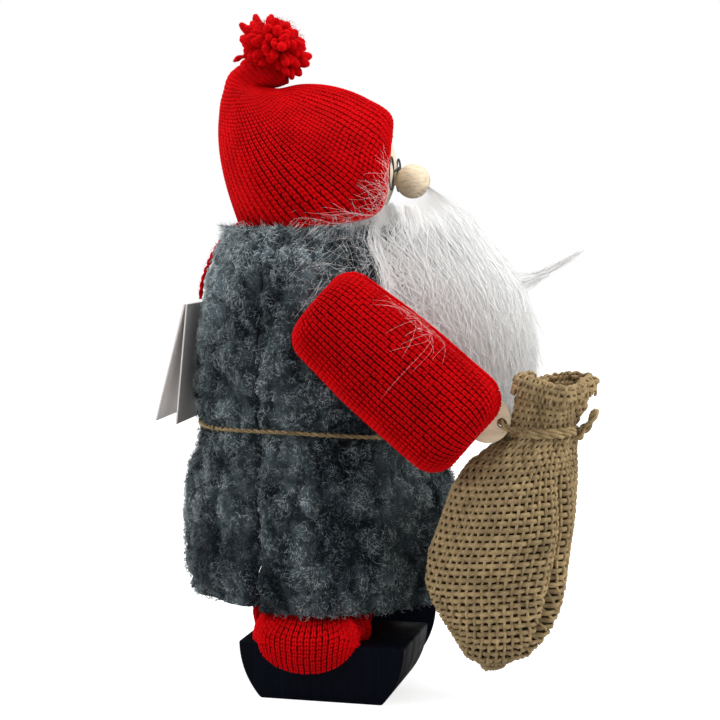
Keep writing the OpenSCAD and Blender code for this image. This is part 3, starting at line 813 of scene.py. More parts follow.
def sleeve_skin(side):
    """surface(across, along) of a sleeve: a flattened tube, closed at both ends."""
    low, high = corners("sleeve_right")
    thick = high[0] - low[0]
    middle_x = side * abs(low[0] + high[0]) / 2
    half, behind, reach = 18 * MM, 6.8 * MM, 60.2 * MM
    back_half, back_r, cuff_r = 16.2 * MM, 8 * MM, half / 2
    forward, upward = sleeve_ways()
    turn = np.radians(np.linspace(0, 90, 9))
    profile = np.concatenate([
        [[0.2 * MM, -behind]],
        np.stack([back_half - back_r + back_r * np.sin(turn),
                  -behind + back_r - back_r * np.cos(turn)], axis=1),
        [[half - 0.4 * MM, 18 * MM], [half, 30 * MM]],
        np.stack([half - cuff_r + cuff_r * np.cos(turn), reach - cuff_r + cuff_r * np.sin(turn)], axis=1),
        [[3.6 * MM, reach + 0.3 * MM]]])
    run = np.concatenate([[0], np.cumsum(np.linalg.norm(np.diff(profile, axis=0), axis=1))])
    run /= run[-1]

    def surface(across, along):
        across, along = np.broadcast_arrays(np.asarray(across, float), np.asarray(along, float))
        radius = np.interp(along, run, profile[:, 0])
        far = np.interp(along, run, profile[:, 1])
        turn = across * TURN
        flat = thick / 2 / half
        place = (np.sin(turn) * radius)[..., None] * upward + far[..., None] * forward
        inner = np.cos(turn) < 0
        round_off = np.sign(np.cos(turn)) * np.abs(np.cos(turn)) ** np.where(inner, 0.6, 1.0)
        from_pivot = np.hypot(np.sin(turn) * radius, far) / (11 * MM)
        gusset = 3.6 * MM * np.exp(-from_pivot ** 4) * ease(-np.cos(turn), 0.0, 0.5)
        place[..., 0] += middle_x + (round_off * radius * flat - gusset) * side
        place[..., 1:] += ARM_PIVOT[1:]
        return place
    return surface


def leg_skin(side):
    """surface(across, along) of a trouser leg that rests on the shoe and sags over its edge."""
    low, high = corners("trouser_left")
    shoe_top = corners("shoe_left")[1][2]
    centre = np.array([35 * MM, (low[1] + high[1]) / 2, 0])
    radius = (high[1] - low[1]) / 2
    top = HEM + 9 * MM
    shoe_side = 51.2 * MM
    lowest = 9.3 * MM

    def surface(across, along):
        across, along = np.broadcast_arrays(np.asarray(across, float), np.asarray(along, float))
        turn = across * TURN
        outer = np.cos(turn) > 0
        sag = np.where(outer, np.sqrt(np.clip(1 - (np.sin(turn) / 0.9) ** 2, 0, 1)), 0.0)
        bottom = shoe_top + 0.4 * MM + (lowest - shoe_top) * sag
        down = np.clip(along / 0.85, 0, 1)
        under = np.clip((along - 0.85) / 0.15, 0, 1)
        height = top + (bottom - top) * down
        square = 1 - 0.6 * ease(down, 0.2, 0.6) * outer
        bulge = 1 - 0.1 * ease(down, 0.6, 1.0) - 0.1 * (1 - ease(down, 0, 0.45))
        reach = radius * (bulge - 0.3 * under * (1 - sag))
        x = centre[0] + reach * np.sign(np.cos(turn)) * np.abs(np.cos(turn)) ** square
        y = centre[1] + reach * np.sin(turn)
        beyond = shoe_side + 3.4 * MM * sag * (1 - ease(down, 0.8, 1.0) * 0.6) * (1 - under)
        over = ease(shoe_top - height, -3.5 * MM, 0.5 * MM) * (sag > 0)
        x = x + (np.maximum(x * (1 - under), beyond) - x) * over
        room = np.interp(height, VEST_LEVELS, VEST_RADII) - 4.5 * MM
        room = room - 3 * MM * ease(height, HEM, HEM + 4 * MM)
        tuck = ease(height, HEM - 6 * MM, HEM - 0.5 * MM)
        pull = 1 + (np.minimum(1, room / np.hypot(x, y)) - 1) * tuck
        x, y = x * pull, y * pull
        return np.stack([side * x, y, height + 0.6 * MM * under], axis=-1)
    return surface


# ---------------------------------------------------------------- making the pieces

def knitted_piece(name, surface, wales, courses, body, lining_depth, keep=None):
    """Stitches over a padded lining, as two pieces."""
    across, along = np.linspace(0, 1, wales, endpoint=False), np.linspace(0, 1, courses)
    u, v = np.meshgrid(across, along)
    grid = surface(u, v)
    middle = grid.mean(axis=(0, 1))
    normal = skin_normal(surface, u, np.clip(v, 0.002, 0.995), 0.004, 0.004, middle)
    points, faces, _ = closed_skin(grid - normal * lining_depth)
    # The lining wears the half-bright red: painted shade in the gaps between the stitches.
    lining = mesh_piece(name + "_lining", points, faces, body, gap_shade_wool(), [name])
    points, faces, _ = join_parts(knit_parts(turned_out(surface, u, v), wales, courses, keep))
    mesh_piece(name + "_stitches", points, faces, body, red_wool())


def finish_nodes(names, material):
    """Gives nodes that stay as they are a material."""
    for name in names:
        data = frame["nodes"][name].data
        data.materials.clear()
        data.materials.append(material)


class TOMTE_OT_wooden_parts(bpy.types.Operator):
    """Finish the dowels, hands, face, nose, wires and inner blocks"""
    bl_idname = "tomte.wooden_parts"
    bl_label = "Wooden Parts"

    def execute(self, context):
        wood = context.scene.tomte_wood
        pale = tuple(wood.birch)
        hand = birch("birch lath", pale, (1, 0.14, 1), contrast=0.5)
        bead = birch("birch bead", pale, (1, 1, 3.5), contrast=0.9)
        dowel = birch("pine dowel", shade(pale, 0.85), (1, 1, 0.1))
        face = birch("face paint on wood", (0.83, 0.72, 0.55), (1, 1, 1), contrast=0.25)
        steel = drawn_wire("bright steel", (0.55, 0.55, 0.56), 0.35, 1.0)
        finishes = {hand: ["hand_right", "hand_left"], bead: ["nose", "nose_peg"],
                    dowel: ["leg_dowel_right", "leg_dowel_left", "spine", "base_disc", "shoulder_block"],
                    face: ["head"], steel: ["shoulder_wire", "shoulder_washers"]}
        for finish, names in finishes.items():
            finish_nodes(names, finish)
        return {"FINISHED"}


class TOMTE_OT_spectacles(bpy.types.Operator):
    """Bend the wire spectacles and rest them on the nose"""
    bl_idname = "tomte.spectacles"
    bl_label = "Spectacles"

    def execute(self, context):
        black = drawn_wire("black wire", (0.012, 0.012, 0.013), 0.4, 0.0)
        nose_low, nose_high = corners("nose")
        height, forward = (nose_low[2] + nose_high[2]) / 2 + 2.4 * MM, nose_high[1] + 0.5 * MM
        rim, wire, apart = 5.6 * MM, 0.36 * MM, 9.6 * MM
        turn = np.linspace(0, TURN, 48, endpoint=False)
        rims = [np.stack([side * apart + rim * np.cos(turn), np.full(len(turn), forward),
                          height + rim * np.sin(turn)], axis=1) for side in (-1, 1)]
        gap = apart - rim
        bridge = even_path([(-gap, forward, height + 0.6 * MM),
                            (0, forward - 1.6 * MM, height + 2.4 * MM),
                            (gap, forward, height + 0.6 * MM)], 20)
        arms = [even_path([(side * (apart + rim), forward, height + 0.4 * MM),
                           (side * (apart + rim + 3 * MM), forward + 3 * MM, height + 0.8 * MM),
                           (side * (HEAD_HIGH[0] + 0.4 * MM), HEAD[1] - 5 * MM, height + 1.2 * MM)], 24)
                for side in (-1, 1)]
        parts = [ring_cords(np.array(rims), wire, sides=8, facing=np.array([0, 1.0, 0]))]
        parts += [strands(line[None], np.full((1, len(line)), wire), sides=8) for line in [bridge, *arms]]
        points, faces, tone = join_parts(parts)
        mesh_piece("spectacle_wire", points, faces, "root", black, ["spectacles"], tone)
        return {"FINISHED"}


class TOMTE_OT_shoes(bpy.types.Operator):
    """Cut two half-round wooden shoes with softened edges"""
    bl_idname = "tomte.shoes"
    bl_label = "Shoes"

    def execute(self, context):
        wood = context.scene.tomte_wood
        paint = painted_wood("shoe paint", tuple(wood.paint))
        for name in ("shoe_right", "shoe_left"):
            low, high = corners(name)
            side = math.copysign(1, low[0] + high[0])
            top = high[2]
            radius, width, splay = 28 * MM, 40 * MM, math.radians(5) * side
            leg = np.array([side * 30 * MM, -4 * MM])
            ahead = 6.5 * MM
            centre = (leg[0] + ahead * math.sin(splay), AXIS[1] + leg[1] - ahead * math.cos(splay), top)
            bpy.ops.object.select_all(action="DESELECT")
            bpy.ops.mesh.primitive_cylinder_add(vertices=96, radius=radius, depth=width, location=centre,
                                                rotation=(0, math.pi / 2, splay))
            shoe = context.active_object
            shoe.name = name + "_block"
            bpy.ops.object.transform_apply(location=True, rotation=True, scale=True)
            bpy.ops.object.mode_set(mode="EDIT")
            for height, above in ((top, True), (0.0, False)):
                bpy.ops.mesh.select_all(action="SELECT")
                bpy.ops.mesh.bisect(plane_co=(0, 0, height), plane_no=(0, 0, 1), use_fill=True,
                                    clear_outer=above, clear_inner=not above)
            bpy.ops.mesh.select_all(action="SELECT")
            bpy.ops.mesh.normals_make_consistent(inside=False)
            bpy.ops.object.mode_set(mode="OBJECT")
            round_edges(shoe, wood.shoe_edge, 4)
            dress(shoe, "root", paint, [name])
        return {"FINISHED"}


def round_edges(piece, width, segments):
    """Bevels a piece's sharp edges and shades it smooth."""
    bevel = piece.modifiers.new("soft edge", "BEVEL")
    bevel.width = width
    bevel.segments = segments
    bevel.limit_method = "ANGLE"
    bevel.angle_limit = math.radians(35)
    bpy.context.view_layer.objects.active = piece
    bpy.ops.object.modifier_apply(modifier=bevel.name)
    bpy.ops.object.shade_smooth_by_angle(angle=math.radians(40))


class TOMTE_OT_wadding(bpy.types.Operator):
    """Stuff the body, the arms and the hat with lumpy wadding"""
    bl_idname = "tomte.wadding"
    bl_label = "Wadding"

    def execute(self, context):
        white = material_for("wadding", stuffing)
        for name, body in (("body_wadding", "root"), ("hat_wadding", "root"),
                           ("arm_wadding_right", "right_arm"), ("arm_wadding_left", "left_arm")):
            piece = frame["nodes"][name].copy()
            piece.data = piece.data.copy()
            piece.parent = None
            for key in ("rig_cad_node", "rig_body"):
                del piece[key]
            piece.name = name + "_tufts"
            context.scene.collection.objects.link(piece)
            bpy.ops.object.select_all(action="DESELECT")
            piece.select_set(True)
            context.view_layer.objects.active = piece
            bpy.ops.object.mode_set(mode="EDIT")
            bpy.ops.mesh.select_all(action="SELECT")
            bpy.ops.mesh.remove_doubles(threshold=1e-6)
            bpy.ops.object.mode_set(mode="OBJECT")
            remesh = piece.modifiers.new("even", "REMESH")
            remesh.mode = "VOXEL"
            remesh.voxel_size = 1.6 * MM
            bpy.ops.object.modifier_apply(modifier=remesh.name)
            count = len(piece.data.vertices)
            place = np.empty(count * 3, np.float32)
            normal = np.empty(count * 3, np.float32)
            piece.data.vertices.foreach_get("co", place)
            piece.data.vertices.foreach_get("normal", normal)
            place, normal = place.reshape(-1, 3).astype(float) - AXIS, normal.reshape(-1, 3)
            place += normal * (0.45 * MM * (ripple(place, 6 * MM, 2) - 1.2))[:, None]
            if name == "body_wadding":
                radius = np.hypot(place[:, 0], place[:, 1])
                room = np.interp(place[:, 2], VEST_LEVELS, VEST_RADII) - 7 * MM
                place[:, :2] *= np.minimum(1, room / np.maximum(radius, MM))[:, None]
            if name == "hat_wadding":
                place = self.inside_hat(place)
            piece.data.vertices.foreach_set("co", (place + AXIS).astype(np.float32).ravel())
            piece.data.update()
            piece.data.shade_smooth()
            dress(piece, body, white, [name])
        return {"FINISHED"}

    def inside_hat(self, place):
        """Points pulled in to lie 3 mm or more under the hat's knit."""
        u, v = np.meshgrid(np.linspace(0, 1, 90, endpoint=False), np.linspace(0.02, 0.98, 50))
        skin = hat_skin(u, v)
        normal = steady_normal(hat_skin, u, v).reshape(-1, 3)
        skin = skin.reshape(-1, 3)
        tree = KDTree(len(skin))
        for i, point in enumerate(skin):
            tree.insert(point, i)
        tree.balance()
        nearest = np.array([tree.find(point)[1] for point in place])
        above = ((place - skin[nearest]) * normal[nearest]).sum(1)
        pull = np.maximum(above + 3 * MM, 0)
        return place - normal[nearest] * pull[:, None]


class TOMTE_OT_vest(bpy.types.Operator):
    """Cut the vest's front and back panels and raise their teddy pile"""
    bl_idname = "tomte.vest"
    bl_label = "Vest"

    def execute(self, context):
        fleece_set = context.scene.tomte_fleece
        colours = ((0.08, tuple(fleece_set.dark)), (0.34, shade(fleece_set.middle, 0.5)),
                   (0.55, tuple(fleece_set.middle)), (0.78, shade(fleece_set.light, 0.55)),
                   (1.0, tuple(fleece_set.light)))
        cloth = fleece("fleece cloth", colours, tips=False)
        pile = fleece("fleece pile", colours)
        for front in (True, False):
            levels = np.linspace(HEM + (0 if front else BACK_SHORTER), COLLAR, 100)
            self.panel(front, levels, cloth)
            for side in (-1, 1):
                self.pile_half(front, side, fleece_set, pile)
        return {"FINISHED"}

    def span(self, front, height):
        """First and last angle of a panel at a height."""
        seam = seam_angle(height)
        edge = 0.012
        return (-seam + edge, seam - edge) if front else (seam + edge, TURN - seam - edge)

    def panel(self, front, levels, cloth):
        share = np.linspace(0, 1, 200 if front else 120)
        start, end = self.span(front, levels)
        around = start[:, None] + (end - start)[:, None] * share[None]
        height = np.broadcast_to(levels[:, None], around.shape)
        outer = vest_skin(around, height)
        inner = outer.copy()
        inner[..., :2] *= 1 - (2.4 * MM / np.hypot(outer[..., 0], outer[..., 1]))[..., None]
        points, faces, _ = shell(outer, inner, wrap=False)
        name = "vest_front" if front else "vest_back"
        piece = mesh_piece(name + "_cloth", points, faces, "root", cloth, [name])

    def pile_half(self, front, side, sizes, pile):
        """Curly fibres on one half of a panel, in tufts that lean the same way."""
        rng = np.random.default_rng(11 + side + 5 * front)
        count = int(sizes.hairs * (1.0 if front else 0.62))
        hem = HEM + (0 if front else BACK_SHORTER)
        height = rng.uniform(hem - 0.4 * MM, COLLAR + 1.0 * MM, count)
        start, end = self.span(front, height)
        middle = (start + end) / 2
        around = middle + side * rng.uniform(0, 1, count) * (end - start) / 2
        clamped = np.clip(height, hem, COLLAR)
        root = vest_skin(around, clamped)
        axis = np.stack([0 * height, 0 * height, clamped], axis=1)
        normal = skin_normal(vest_skin, around, clamped, 0.02, 0.7 * MM, axis)
        down = unit(np.array([0, 0, -1.0]) + normal * normal[:, 2:3])
        across = np.cross(normal, down)
        swirl = 1.8 * ripple(root, 9 * MM, 8) + 1.0 * ripple(root, 4 * MM, 9) + rng.normal(0, 0.5, count)
        curl = swirl + rng.choice([-1, 1], count) * rng.uniform(0.6, 2.2, count)
        long_top = 1 + 0.45 * ease(root[:, 2], COLLAR - 22 * MM, COLLAR)
        length = (sizes.hair_length * rng.uniform(0.6, 1.25, count) * long_top)[:, None]
        lift = (rng.uniform(0.12, 0.5, count) + 0.15 * ease(root[:, 2], COLLAR - 10 * MM, COLLAR))[:, None]
        lean = np.cos(swirl)[:, None] * down + np.sin(swirl)[:, None] * across
        after = np.cos(curl)[:, None] * down + np.sin(curl)[:, None] * across
        middle_point = root + (lean * 0.4 + normal * lift) * length * 0.8
        tip = middle_point + (after * 0.5 + normal * (lift - 0.35) * 0.6) * length
        paths = np.stack([root - normal * 0.2 * MM, middle_point, tip], axis=1)
        covered = self.under_sleeve(middle_point)
        paths = paths[~covered]
        # Each fibre's shade varies at random, with painted shade and light over it: darker in the creases
        # between the pillows, lighter on the pillows.
        tone = (rng.normal(0.54, 0.11, count) + 0.42 * billow(root))[~covered]
        radii = np.full((len(paths), 3), sizes.hair_width) * rng.uniform(0.7, 1.3, (len(paths), 1))
        points, faces, tones = strands(paths, radii, seed=4 + side, tone=tone, along=0.3)
        name = f"vest_{'front' if front else 'back'}_pile_{'left' if side > 0 else 'right'}"
        return mesh_piece(name, points, faces, "root", pile, tone=tones)

    def under_sleeve(self, place):
        """Which points lie under a sleeve or the beard, where the pile is pressed flat."""
        along, over = ((place - ARM_PIVOT) @ way for way in sleeve_ways())
        sleeve = ((np.abs(place[:, 0]) > 38 * MM) & (along > -4 * MM) & (along < 58 * MM)
                  & (np.abs(over) < 15 * MM))
        beard = (place[:, 1] < -30 * MM) & (place[:, 2] > 96 * MM) & (np.abs(place[:, 0]) < 26 * MM)
        return sleeve | beard


def near(place, *steps):
    """Points of a cord, each some millimetres from a place."""
    return place + np.array(steps, float) * MM


class TOMTE_OT_belt(bpy.types.Operator):
    """Tie a jute twine round the waist"""
    bl_idname = "tomte.belt"
    bl_label = "Belt"

    def execute(self, context):
        twine = jute("belt twine", shade(context.scene.tomte_sack.colour, 0.85))
        turn = np.linspace(-math.pi, math.pi, 361)
        radius = np.interp(BELT_Z, VEST_LEVELS, VEST_RADII) + 0.3 * MM
        sag = -1.5 * MM * np.cos(turn) + 0.7 * MM * np.sin(3 * turn)
        radius = radius + 0.7 * MM * np.sin(5 * turn + 1)
        path = np.stack([radius * np.sin(turn), -radius * np.cos(turn), BELT_Z + sag], axis=1)
        knot = path[len(path) // 2] + np.array([0, -0.8, 0]) * MM
        tied = near(knot, (-2, 1, 0), (-1.5, -0.8, 1.4), (1, -1.2, 1), (1.6, -0.4, -1),
                    (-1, 0.6, -1.2), (-1.6, -0.8, 0.4), (1.8, -0.6, 0.2))
        ends = [near(knot, (0, 0, 0), (way * 3, -0.4, -1.5), (way * 8, 0.4, -4)) for way in (-1, 1)]
        parts = [twine_parts(path, 0.75 * MM), twine_parts(even_path(tied, 60), 0.75 * MM)]
        parts += [twine_parts(even_path(end, 24), 0.7 * MM) for end in ends]
        parts.append(loose_fibres(path, 0.75 * MM, 500, 1.6 * MM, 0.04 * MM, 3))
        points, faces, tone = join_parts(parts)
        mesh_piece("belt_twine", points, faces, "root", twine, ["belt"], tone)
        return {"FINISHED"}


class TOMTE_OT_sleeves(bpy.types.Operator):
    """Knit both sleeves"""
    bl_idname = "tomte.sleeves"
    bl_label = "Sleeves"

    def execute(self, context):
        knit = context.scene.tomte_knit
        for side, name, body in ((-1, "sleeve_right", "right_arm"), (1, "sleeve_left", "left_arm")):
            knitted_piece(name, sleeve_skin(side), knit.sleeve_wales, knit.sleeve_courses, body,
                          lining_depth=0.5 * MM)
        return {"FINISHED"}


class TOMTE_OT_trousers(bpy.types.Operator):
    """Knit both trouser legs"""
    bl_idname = "tomte.trousers"
    bl_label = "Trousers"

    def execute(self, context):
        knit = context.scene.tomte_knit
        for side, name in ((-1, "trouser_right"), (1, "trouser_left")):
            knitted_piece(name, leg_skin(side), knit.leg_wales, knit.leg_courses, "root",
                          lining_depth=0.6 * MM, keep=lambda across, along: along < 0.84)
        return {"FINISHED"}


class TOMTE_OT_hat(bpy.types.Operator):
    """Knit the hat from its gathered tip to the brim"""
    bl_idname = "tomte.hat"
    bl_label = "Hat"

    def execute(self, context):
        knit = context.scene.tomte_knit
        u, v = np.meshgrid(np.linspace(0, 1, 96, endpoint=False), np.linspace(0, 1, 60))
        outer = hat_skin(u, v)
        normal = steady_normal(hat_skin, u, np.clip(v, 0.01, 0.985))
        points, faces, _ = shell(outer - normal * 0.5 * MM, outer - normal * 1.9 * MM)
        # The lining wears the half-bright red: painted shade in the gaps between the stitches.
        cloth = mesh_piece("hat_lining", points, faces, "root", gap_shade_wool(), ["hat"])
        below_tip = slice(8, None)      # rows that don't lie in the gathered tip's fold
        facing = turned_out(hat_skin, u[below_tip], v[below_tip])
        points, faces, _ = join_parts(knit_parts(facing, knit.hat_wales, knit.hat_courses))
        mesh_piece("hat_stitches", points, faces, "root", red_wool())
        rim = hat_skin(np.linspace(0, 1, 240, endpoint=False), 1.0)[None]
        points, faces, _ = ring_cords(rim, 0.9 * MM, facing=normal[-1].mean(0))
        mesh_piece("hat_edge", points, faces, "root", red_wool())
        return {"FINISHED"}


class TOMTE_OT_pompom(bpy.types.Operator):
    """Bundle a floppy pompom of thick yarn"""
    bl_idname = "tomte.pompom"
    bl_label = "Pompom"

    def execute(self, context):
        low, high = corners("pompom")
        centre = (low + high) / 2 + np.array([0, -1.0, -0.6]) * MM
        radius = (high[0] - low[0]) / 2
        rng = np.random.default_rng(21)
        tufts = self.tufts(centre, radius, rng)
        points, faces, tone = join_parts([tufts, self.fuzz(centre, radius, rng)])
        mesh_piece("pompom_yarn", points, faces, "pompom", red_wool(), ["pompom"], tone)
        foot = joint_place("pompom_nod")
        line = even_path([foot + np.array([0, 1.5, -1.0]) * MM, foot, (foot + centre) / 2, centre], 24)
        points, faces, tone = twine_parts(line, 1.0 * MM)
        mesh_piece("pompom_stalk", points, faces, "pompom", red_wool(), ["pompom_thread"], tone)
        return {"FINISHED"}

    def tufts(self, centre, radius, rng):
        """Thick ends of yarn, spread evenly over a ball and each bent its own way."""
        count = 150
        k = np.arange(count) + 0.5
        tilt, turn = np.arccos(1 - 2 * k / count), k * math.pi * (1 + math.sqrt(5))
        way = np.stack([np.sin(tilt) * np.cos(turn), np.sin(tilt) * np.sin(turn), np.cos(tilt)], axis=1)
        way = unit(way + rng.normal(0, 0.12, way.shape))
        reach = radius * (0.98 + 0.13 * ripple(way, 1.1, 2) + rng.normal(0, 0.09, count))[:, None]
        bend = unit(np.cross(way, rng.normal(size=way.shape)))
        s = np.array([0.25, 0.45, 0.65, 0.82, 0.93, 1.0, 1.02])
        swing = rng.uniform(0.1, 0.42, (count, 1))
        bent = (bend * swing)[:, None] * (s ** 3)[None, :, None]
        paths = centre + (way[:, None] * s[None, :, None] + bent) * reach[:, None]
        thick = np.array([0.5, 0.8, 1.0, 1.05, 0.9, 0.55, 0.1]) * 1.5 * MM
        return strands(paths, thick[None] * rng.uniform(0.8, 1.2, (count, 1)), sides=8)

    def fuzz(self, centre, radius, rng):
        """Fine fibres that stand off the yarn."""
        count = 3000
        root = centre + unit(rng.normal(size=(count, 3))) * radius * rng.uniform(0.75, 0.95, (count, 1))
        way = unit(rng.normal(size=(count, 3)) + unit(root - centre))
        tip = root + unit(way + rng.normal(0, 0.6, way.shape)) * 1.5 * MM
        paths = np.stack([root, root + way * 0.7 * MM, tip], axis=1)
        return strands(paths, np.full((count, 3), 0.05 * MM), tone=0.6)


# The beard's outline: how far it stands out of the vest and its half width, at some heights
BEARD_LEVELS = np.array([-10, 0, 12, 30, 45, 58, 70, 80]) * MM + 90 * MM
BEARD_STAND = np.array([17, 24, 27.5, 30.5, 30, 25, 21, 8]) * MM
BEARD_HALF = np.array([8, 20, 28, 31, 30, 27, 24, 15]) * MM


def beard_place(share, height, depth):
    """A point in the beard: share -1 to 1 across, a height, and depth 0 on the vest to 1 in front."""
    back = np.interp(height, VEST_LEVELS, VEST_RADII) - 0.35 * np.maximum(height - COLLAR, 0)
    stand = np.interp(height, BEARD_LEVELS, BEARD_STAND)
    half = np.interp(height, BEARD_LEVELS, BEARD_HALF)
    x = share * half
    behind = -np.sqrt(np.maximum(back ** 2 - x ** 2, 0)) - 2.6 * MM     # over the vest's pile
    front = -back - stand
    edge = np.sqrt(np.clip(1 - share ** 2, 0, 1)) ** 0.8
    y = behind + (front - behind) * depth * edge
    return np.stack([x, y, height], axis=-1)


class TOMTE_OT_beard(bpy.types.Operator):
    """Comb the beard from the cheeks down over the chest"""
    bl_idname = "tomte.beard"
    bl_label = "Beard"

    def execute(self, context):
        sizes, white = context.scene.tomte_hair, white_hair()
        share, height = np.meshgrid(np.linspace(-0.6, 0.6, 60), np.linspace(92 * MM, 163 * MM, 70))
        lumps = 0.92 - 0.2 * share ** 2 - 0.65 * ease(height, 150 * MM, 163 * MM)
        lumps += 0.05 * ripple(np.stack([share * 3, height * 0, height * 20], -1), 1.6, 3)
        outer = beard_place(share, height, lumps)
        inner = beard_place(share, height, 0.02)
        points, faces, _ = shell(outer, inner, wrap=False)
        core = mesh_piece("beard_core", points, faces, "root", white, ["beard"],
                          tone=np.full(len(points), 0.55))
        # For each layer: its least and greatest depth, where its lowest hairs end, and its seed
        layers = ((0.88, 1.0, 88 * MM, 31), (0.9, 1.03, 96 * MM, 32),
                  (0.88, 1.04, 86 * MM, 33), (0.3, 0.97, 82 * MM, 34))
        for number, (low_depth, high_depth, low_tip, seed) in enumerate(layers, start=1):
            points, faces, tone = self.layer(low_depth, high_depth, low_tip, seed, sizes)
            mesh_piece(f"beard_hair_{number}", points, faces, "root", white, tone=tone)
        return {"FINISHED"}

    def layer(self, low_depth, high_depth, low_tip, seed, sizes):
        """Hairs that leave the cheeks and fall over the chest, each swaying its own way."""
        rng = np.random.default_rng(seed)
        count, stations = sizes.locks, 7
        share = rng.triangular(-1.02, 0, 1.02, count)
        if low_depth < 0.5:     # the undermost layer covers the sides of the chest
            share = np.sign(share) * (1.06 - np.abs(share) * 0.7)
        depth = rng.uniform(low_depth, high_depth, count)
        top = 170.5 * MM - 7 * MM * share ** 2 - rng.uniform(0, 1, count) ** 1.7 * 60 * MM
        tip = low_tip + rng.uniform(0, 1, count) ** 1.5 * 26 * MM + 12 * MM * share ** 2
        tip = np.minimum(tip, top - 22 * MM)
        s = np.linspace(0, 1, stations)[None]
        height = top[:, None] + (tip - top)[:, None] * s
        sway = share[:, None] * (1 + 0.04 * np.sin(3 * s + seed)) + rng.normal(0, 0.05, (count, 1)) * s
        sway += 0.07 * np.sin(6 * s + rng.uniform(0, 6, (count, 1))) * rng.uniform(0, 1, (count, 1))
        clumps = ripple(np.stack([share * 6, depth * 3, height.mean(1) * 20], -1), 2.0, seed)
        sway += 0.05 * clumps[:, None] * s
        stand = depth[:, None] + 0.03 * rng.normal(0, 1, (count, 1)) * s
        paths = beard_place(np.clip(sway, -1.5, 1.5), height, stand)
        paths += rng.normal(0, 0.9, (count, 1, 3)) * s[..., None] ** 2 * MM
        paths += rng.normal(0, 0.36, (count, stations, 3)) * MM
        paths[..., 1] -= (rng.exponential(0.9, (count, 1)) * np.clip(s - 0.55, 0, 1) ** 2 * 8) * MM
        full = 0.35 + 0.65 * np.sin(math.pi * np.clip(s, 0, 1) ** 0.7)
        radii = sizes.hair_width * full * rng.uniform(0.6, 1.3, (count, 1))
        return strands(paths, radii, seed=seed, tone=rng.normal(0.5, 0.2, count))


class TOMTE_OT_moustache(bpy.types.Operator):
    """Lay the moustache under the nose, with one long tuft combed forwards"""
    bl_idname = "tomte.moustache"
    bl_label = "Moustache"

    def execute(self, context):
        sizes, white = context.scene.tomte_hair, white_hair()
        low, high = corners("moustache")
        centre, half = (low + high) / 2, (high - low) / 2
        centre = centre + np.array([0, 0.5, -1.0]) * MM
        rng = np.random.default_rng(41)
        u, v = np.meshgrid(np.linspace(0, TURN, 48, endpoint=False), np.linspace(0.04, math.pi - 0.04, 28))
        ball = np.stack([np.cos(v), np.sin(v) * np.cos(u), np.sin(v) * np.sin(u)], axis=-1)
        puff = centre + ball * half * 0.66 * (1 + 0.06 * ripple(ball, 0.9, 3))[..., None]
        points, faces, _ = closed_skin(puff)
        core = mesh_piece("moustache_core", points, faces, "root", white, ["moustache"],
                          tone=np.full(len(points), 0.5))
        parts = [self.fluff(centre, half, sizes, rng), self.tuft(sizes, rng)]
        points, faces, tone = join_parts(parts)
        mesh_piece("moustache_hair", points, faces, "root", white, tone=tone)
        return {"FINISHED"}

    def fluff(self, centre, half, sizes, rng):
        """Short hairs that leave the puff and fall outwards and down."""
        count = 3100
        s = np.linspace(0, 1, 6)[None, :, None]
        way = unit(rng.normal(size=(count, 3)))
        root = centre + way * half * rng.uniform(0.4, 0.72, (count, 1))
        sideways = np.stack([np.sign(way[:, 0]) * 0.7, np.full(count, -0.25), np.full(count, -0.9)], axis=1)
        start = unit(way + rng.normal(0, 0.35, (count, 3)))
        after = unit(sideways + rng.normal(0, 0.45, (count, 3)))
        length = rng.uniform(5, 12, (count, 1, 1)) * MM
        bend = rng.uniform(0.3, 1.0, (count, 1, 1))
        fall = start[:, None] * s * (1 - 0.75 * s) + after[:, None] * bend * s ** 2
        paths = root[:, None] + fall * length * 0.8
        radii = sizes.hair_width * np.sin(math.pi * s[..., 0] ** 0.6) * rng.uniform(0.6, 1.2, (count, 1))
        return strands(paths, radii, seed=7, tone=rng.normal(0.5, 0.16, count))

    def tuft(self, sizes, rng):
        """A wisp of the beard that sticks out in front, rising to a point."""
        count = 280
        start = beard_place(np.array([0.1]), np.array([136 * MM]), np.array([0.85]))[0]
        end = start + np.array([2, -30, 15]) * MM
        s = np.linspace(0, 1, 9)[None, :, None]
        spread = rng.normal(0, 1, (count, 1, 3)) * np.array([2.6, 1.5, 2.4]) * MM
        hang = np.array([0, 0, 1.0]) * (s * (1 - s)) * -12 * MM
        length = rng.uniform(0.35, 1.0, (count, 1, 1))
        paths = start + (end - start) * s * length + spread * (1 - 0.88 * s) ** 2 + hang
        paths += rng.normal(0, 0.3, (count, 9, 3)) * MM
        radii = sizes.hair_width * np.sin(math.pi * s[..., 0] ** 0.8) * rng.uniform(0.5, 1.1, (count, 1))
        return strands(paths, radii, seed=9, tone=rng.normal(0.6, 0.15, count))


def sack_rows():
    """Heights of the sack's outer rings, with the middle, half depth and half width of each."""
    levels, rows = level_rows(node_points("sack"), lambda p: [
        (p[:, 1].min() + p[:, 1].max()) / 2, (p[:, 1].max() - p[:, 1].min()) / 2,
        (p[:, 0].max() - p[:, 0].min()) / 2])
    outer = rows[:, 1] > 3 * MM
    return levels[outer], rows[outer]


SACK_X = (corners("sack")[0][0] + corners("sack")[1][0]) / 2
SACK_TIE = float(corners("sack_tie")[0][2]) + 1.3 * MM
SEAM_TURN = TURN - 0.62     # angle of the sack's side seam from its front
TURN_OVER = 8 * MM          # how far the sack's mouth is folded down outside
NECK_BACK = 2.7 * MM        # how far the tied neck leans back towards the hand
WEAVE_WAVE = 0.42 * MM      # how far a yarn swings in and out where it crosses others
SHORTEST_WARP = 12          # points: a shorter end of an upright yarn is left out


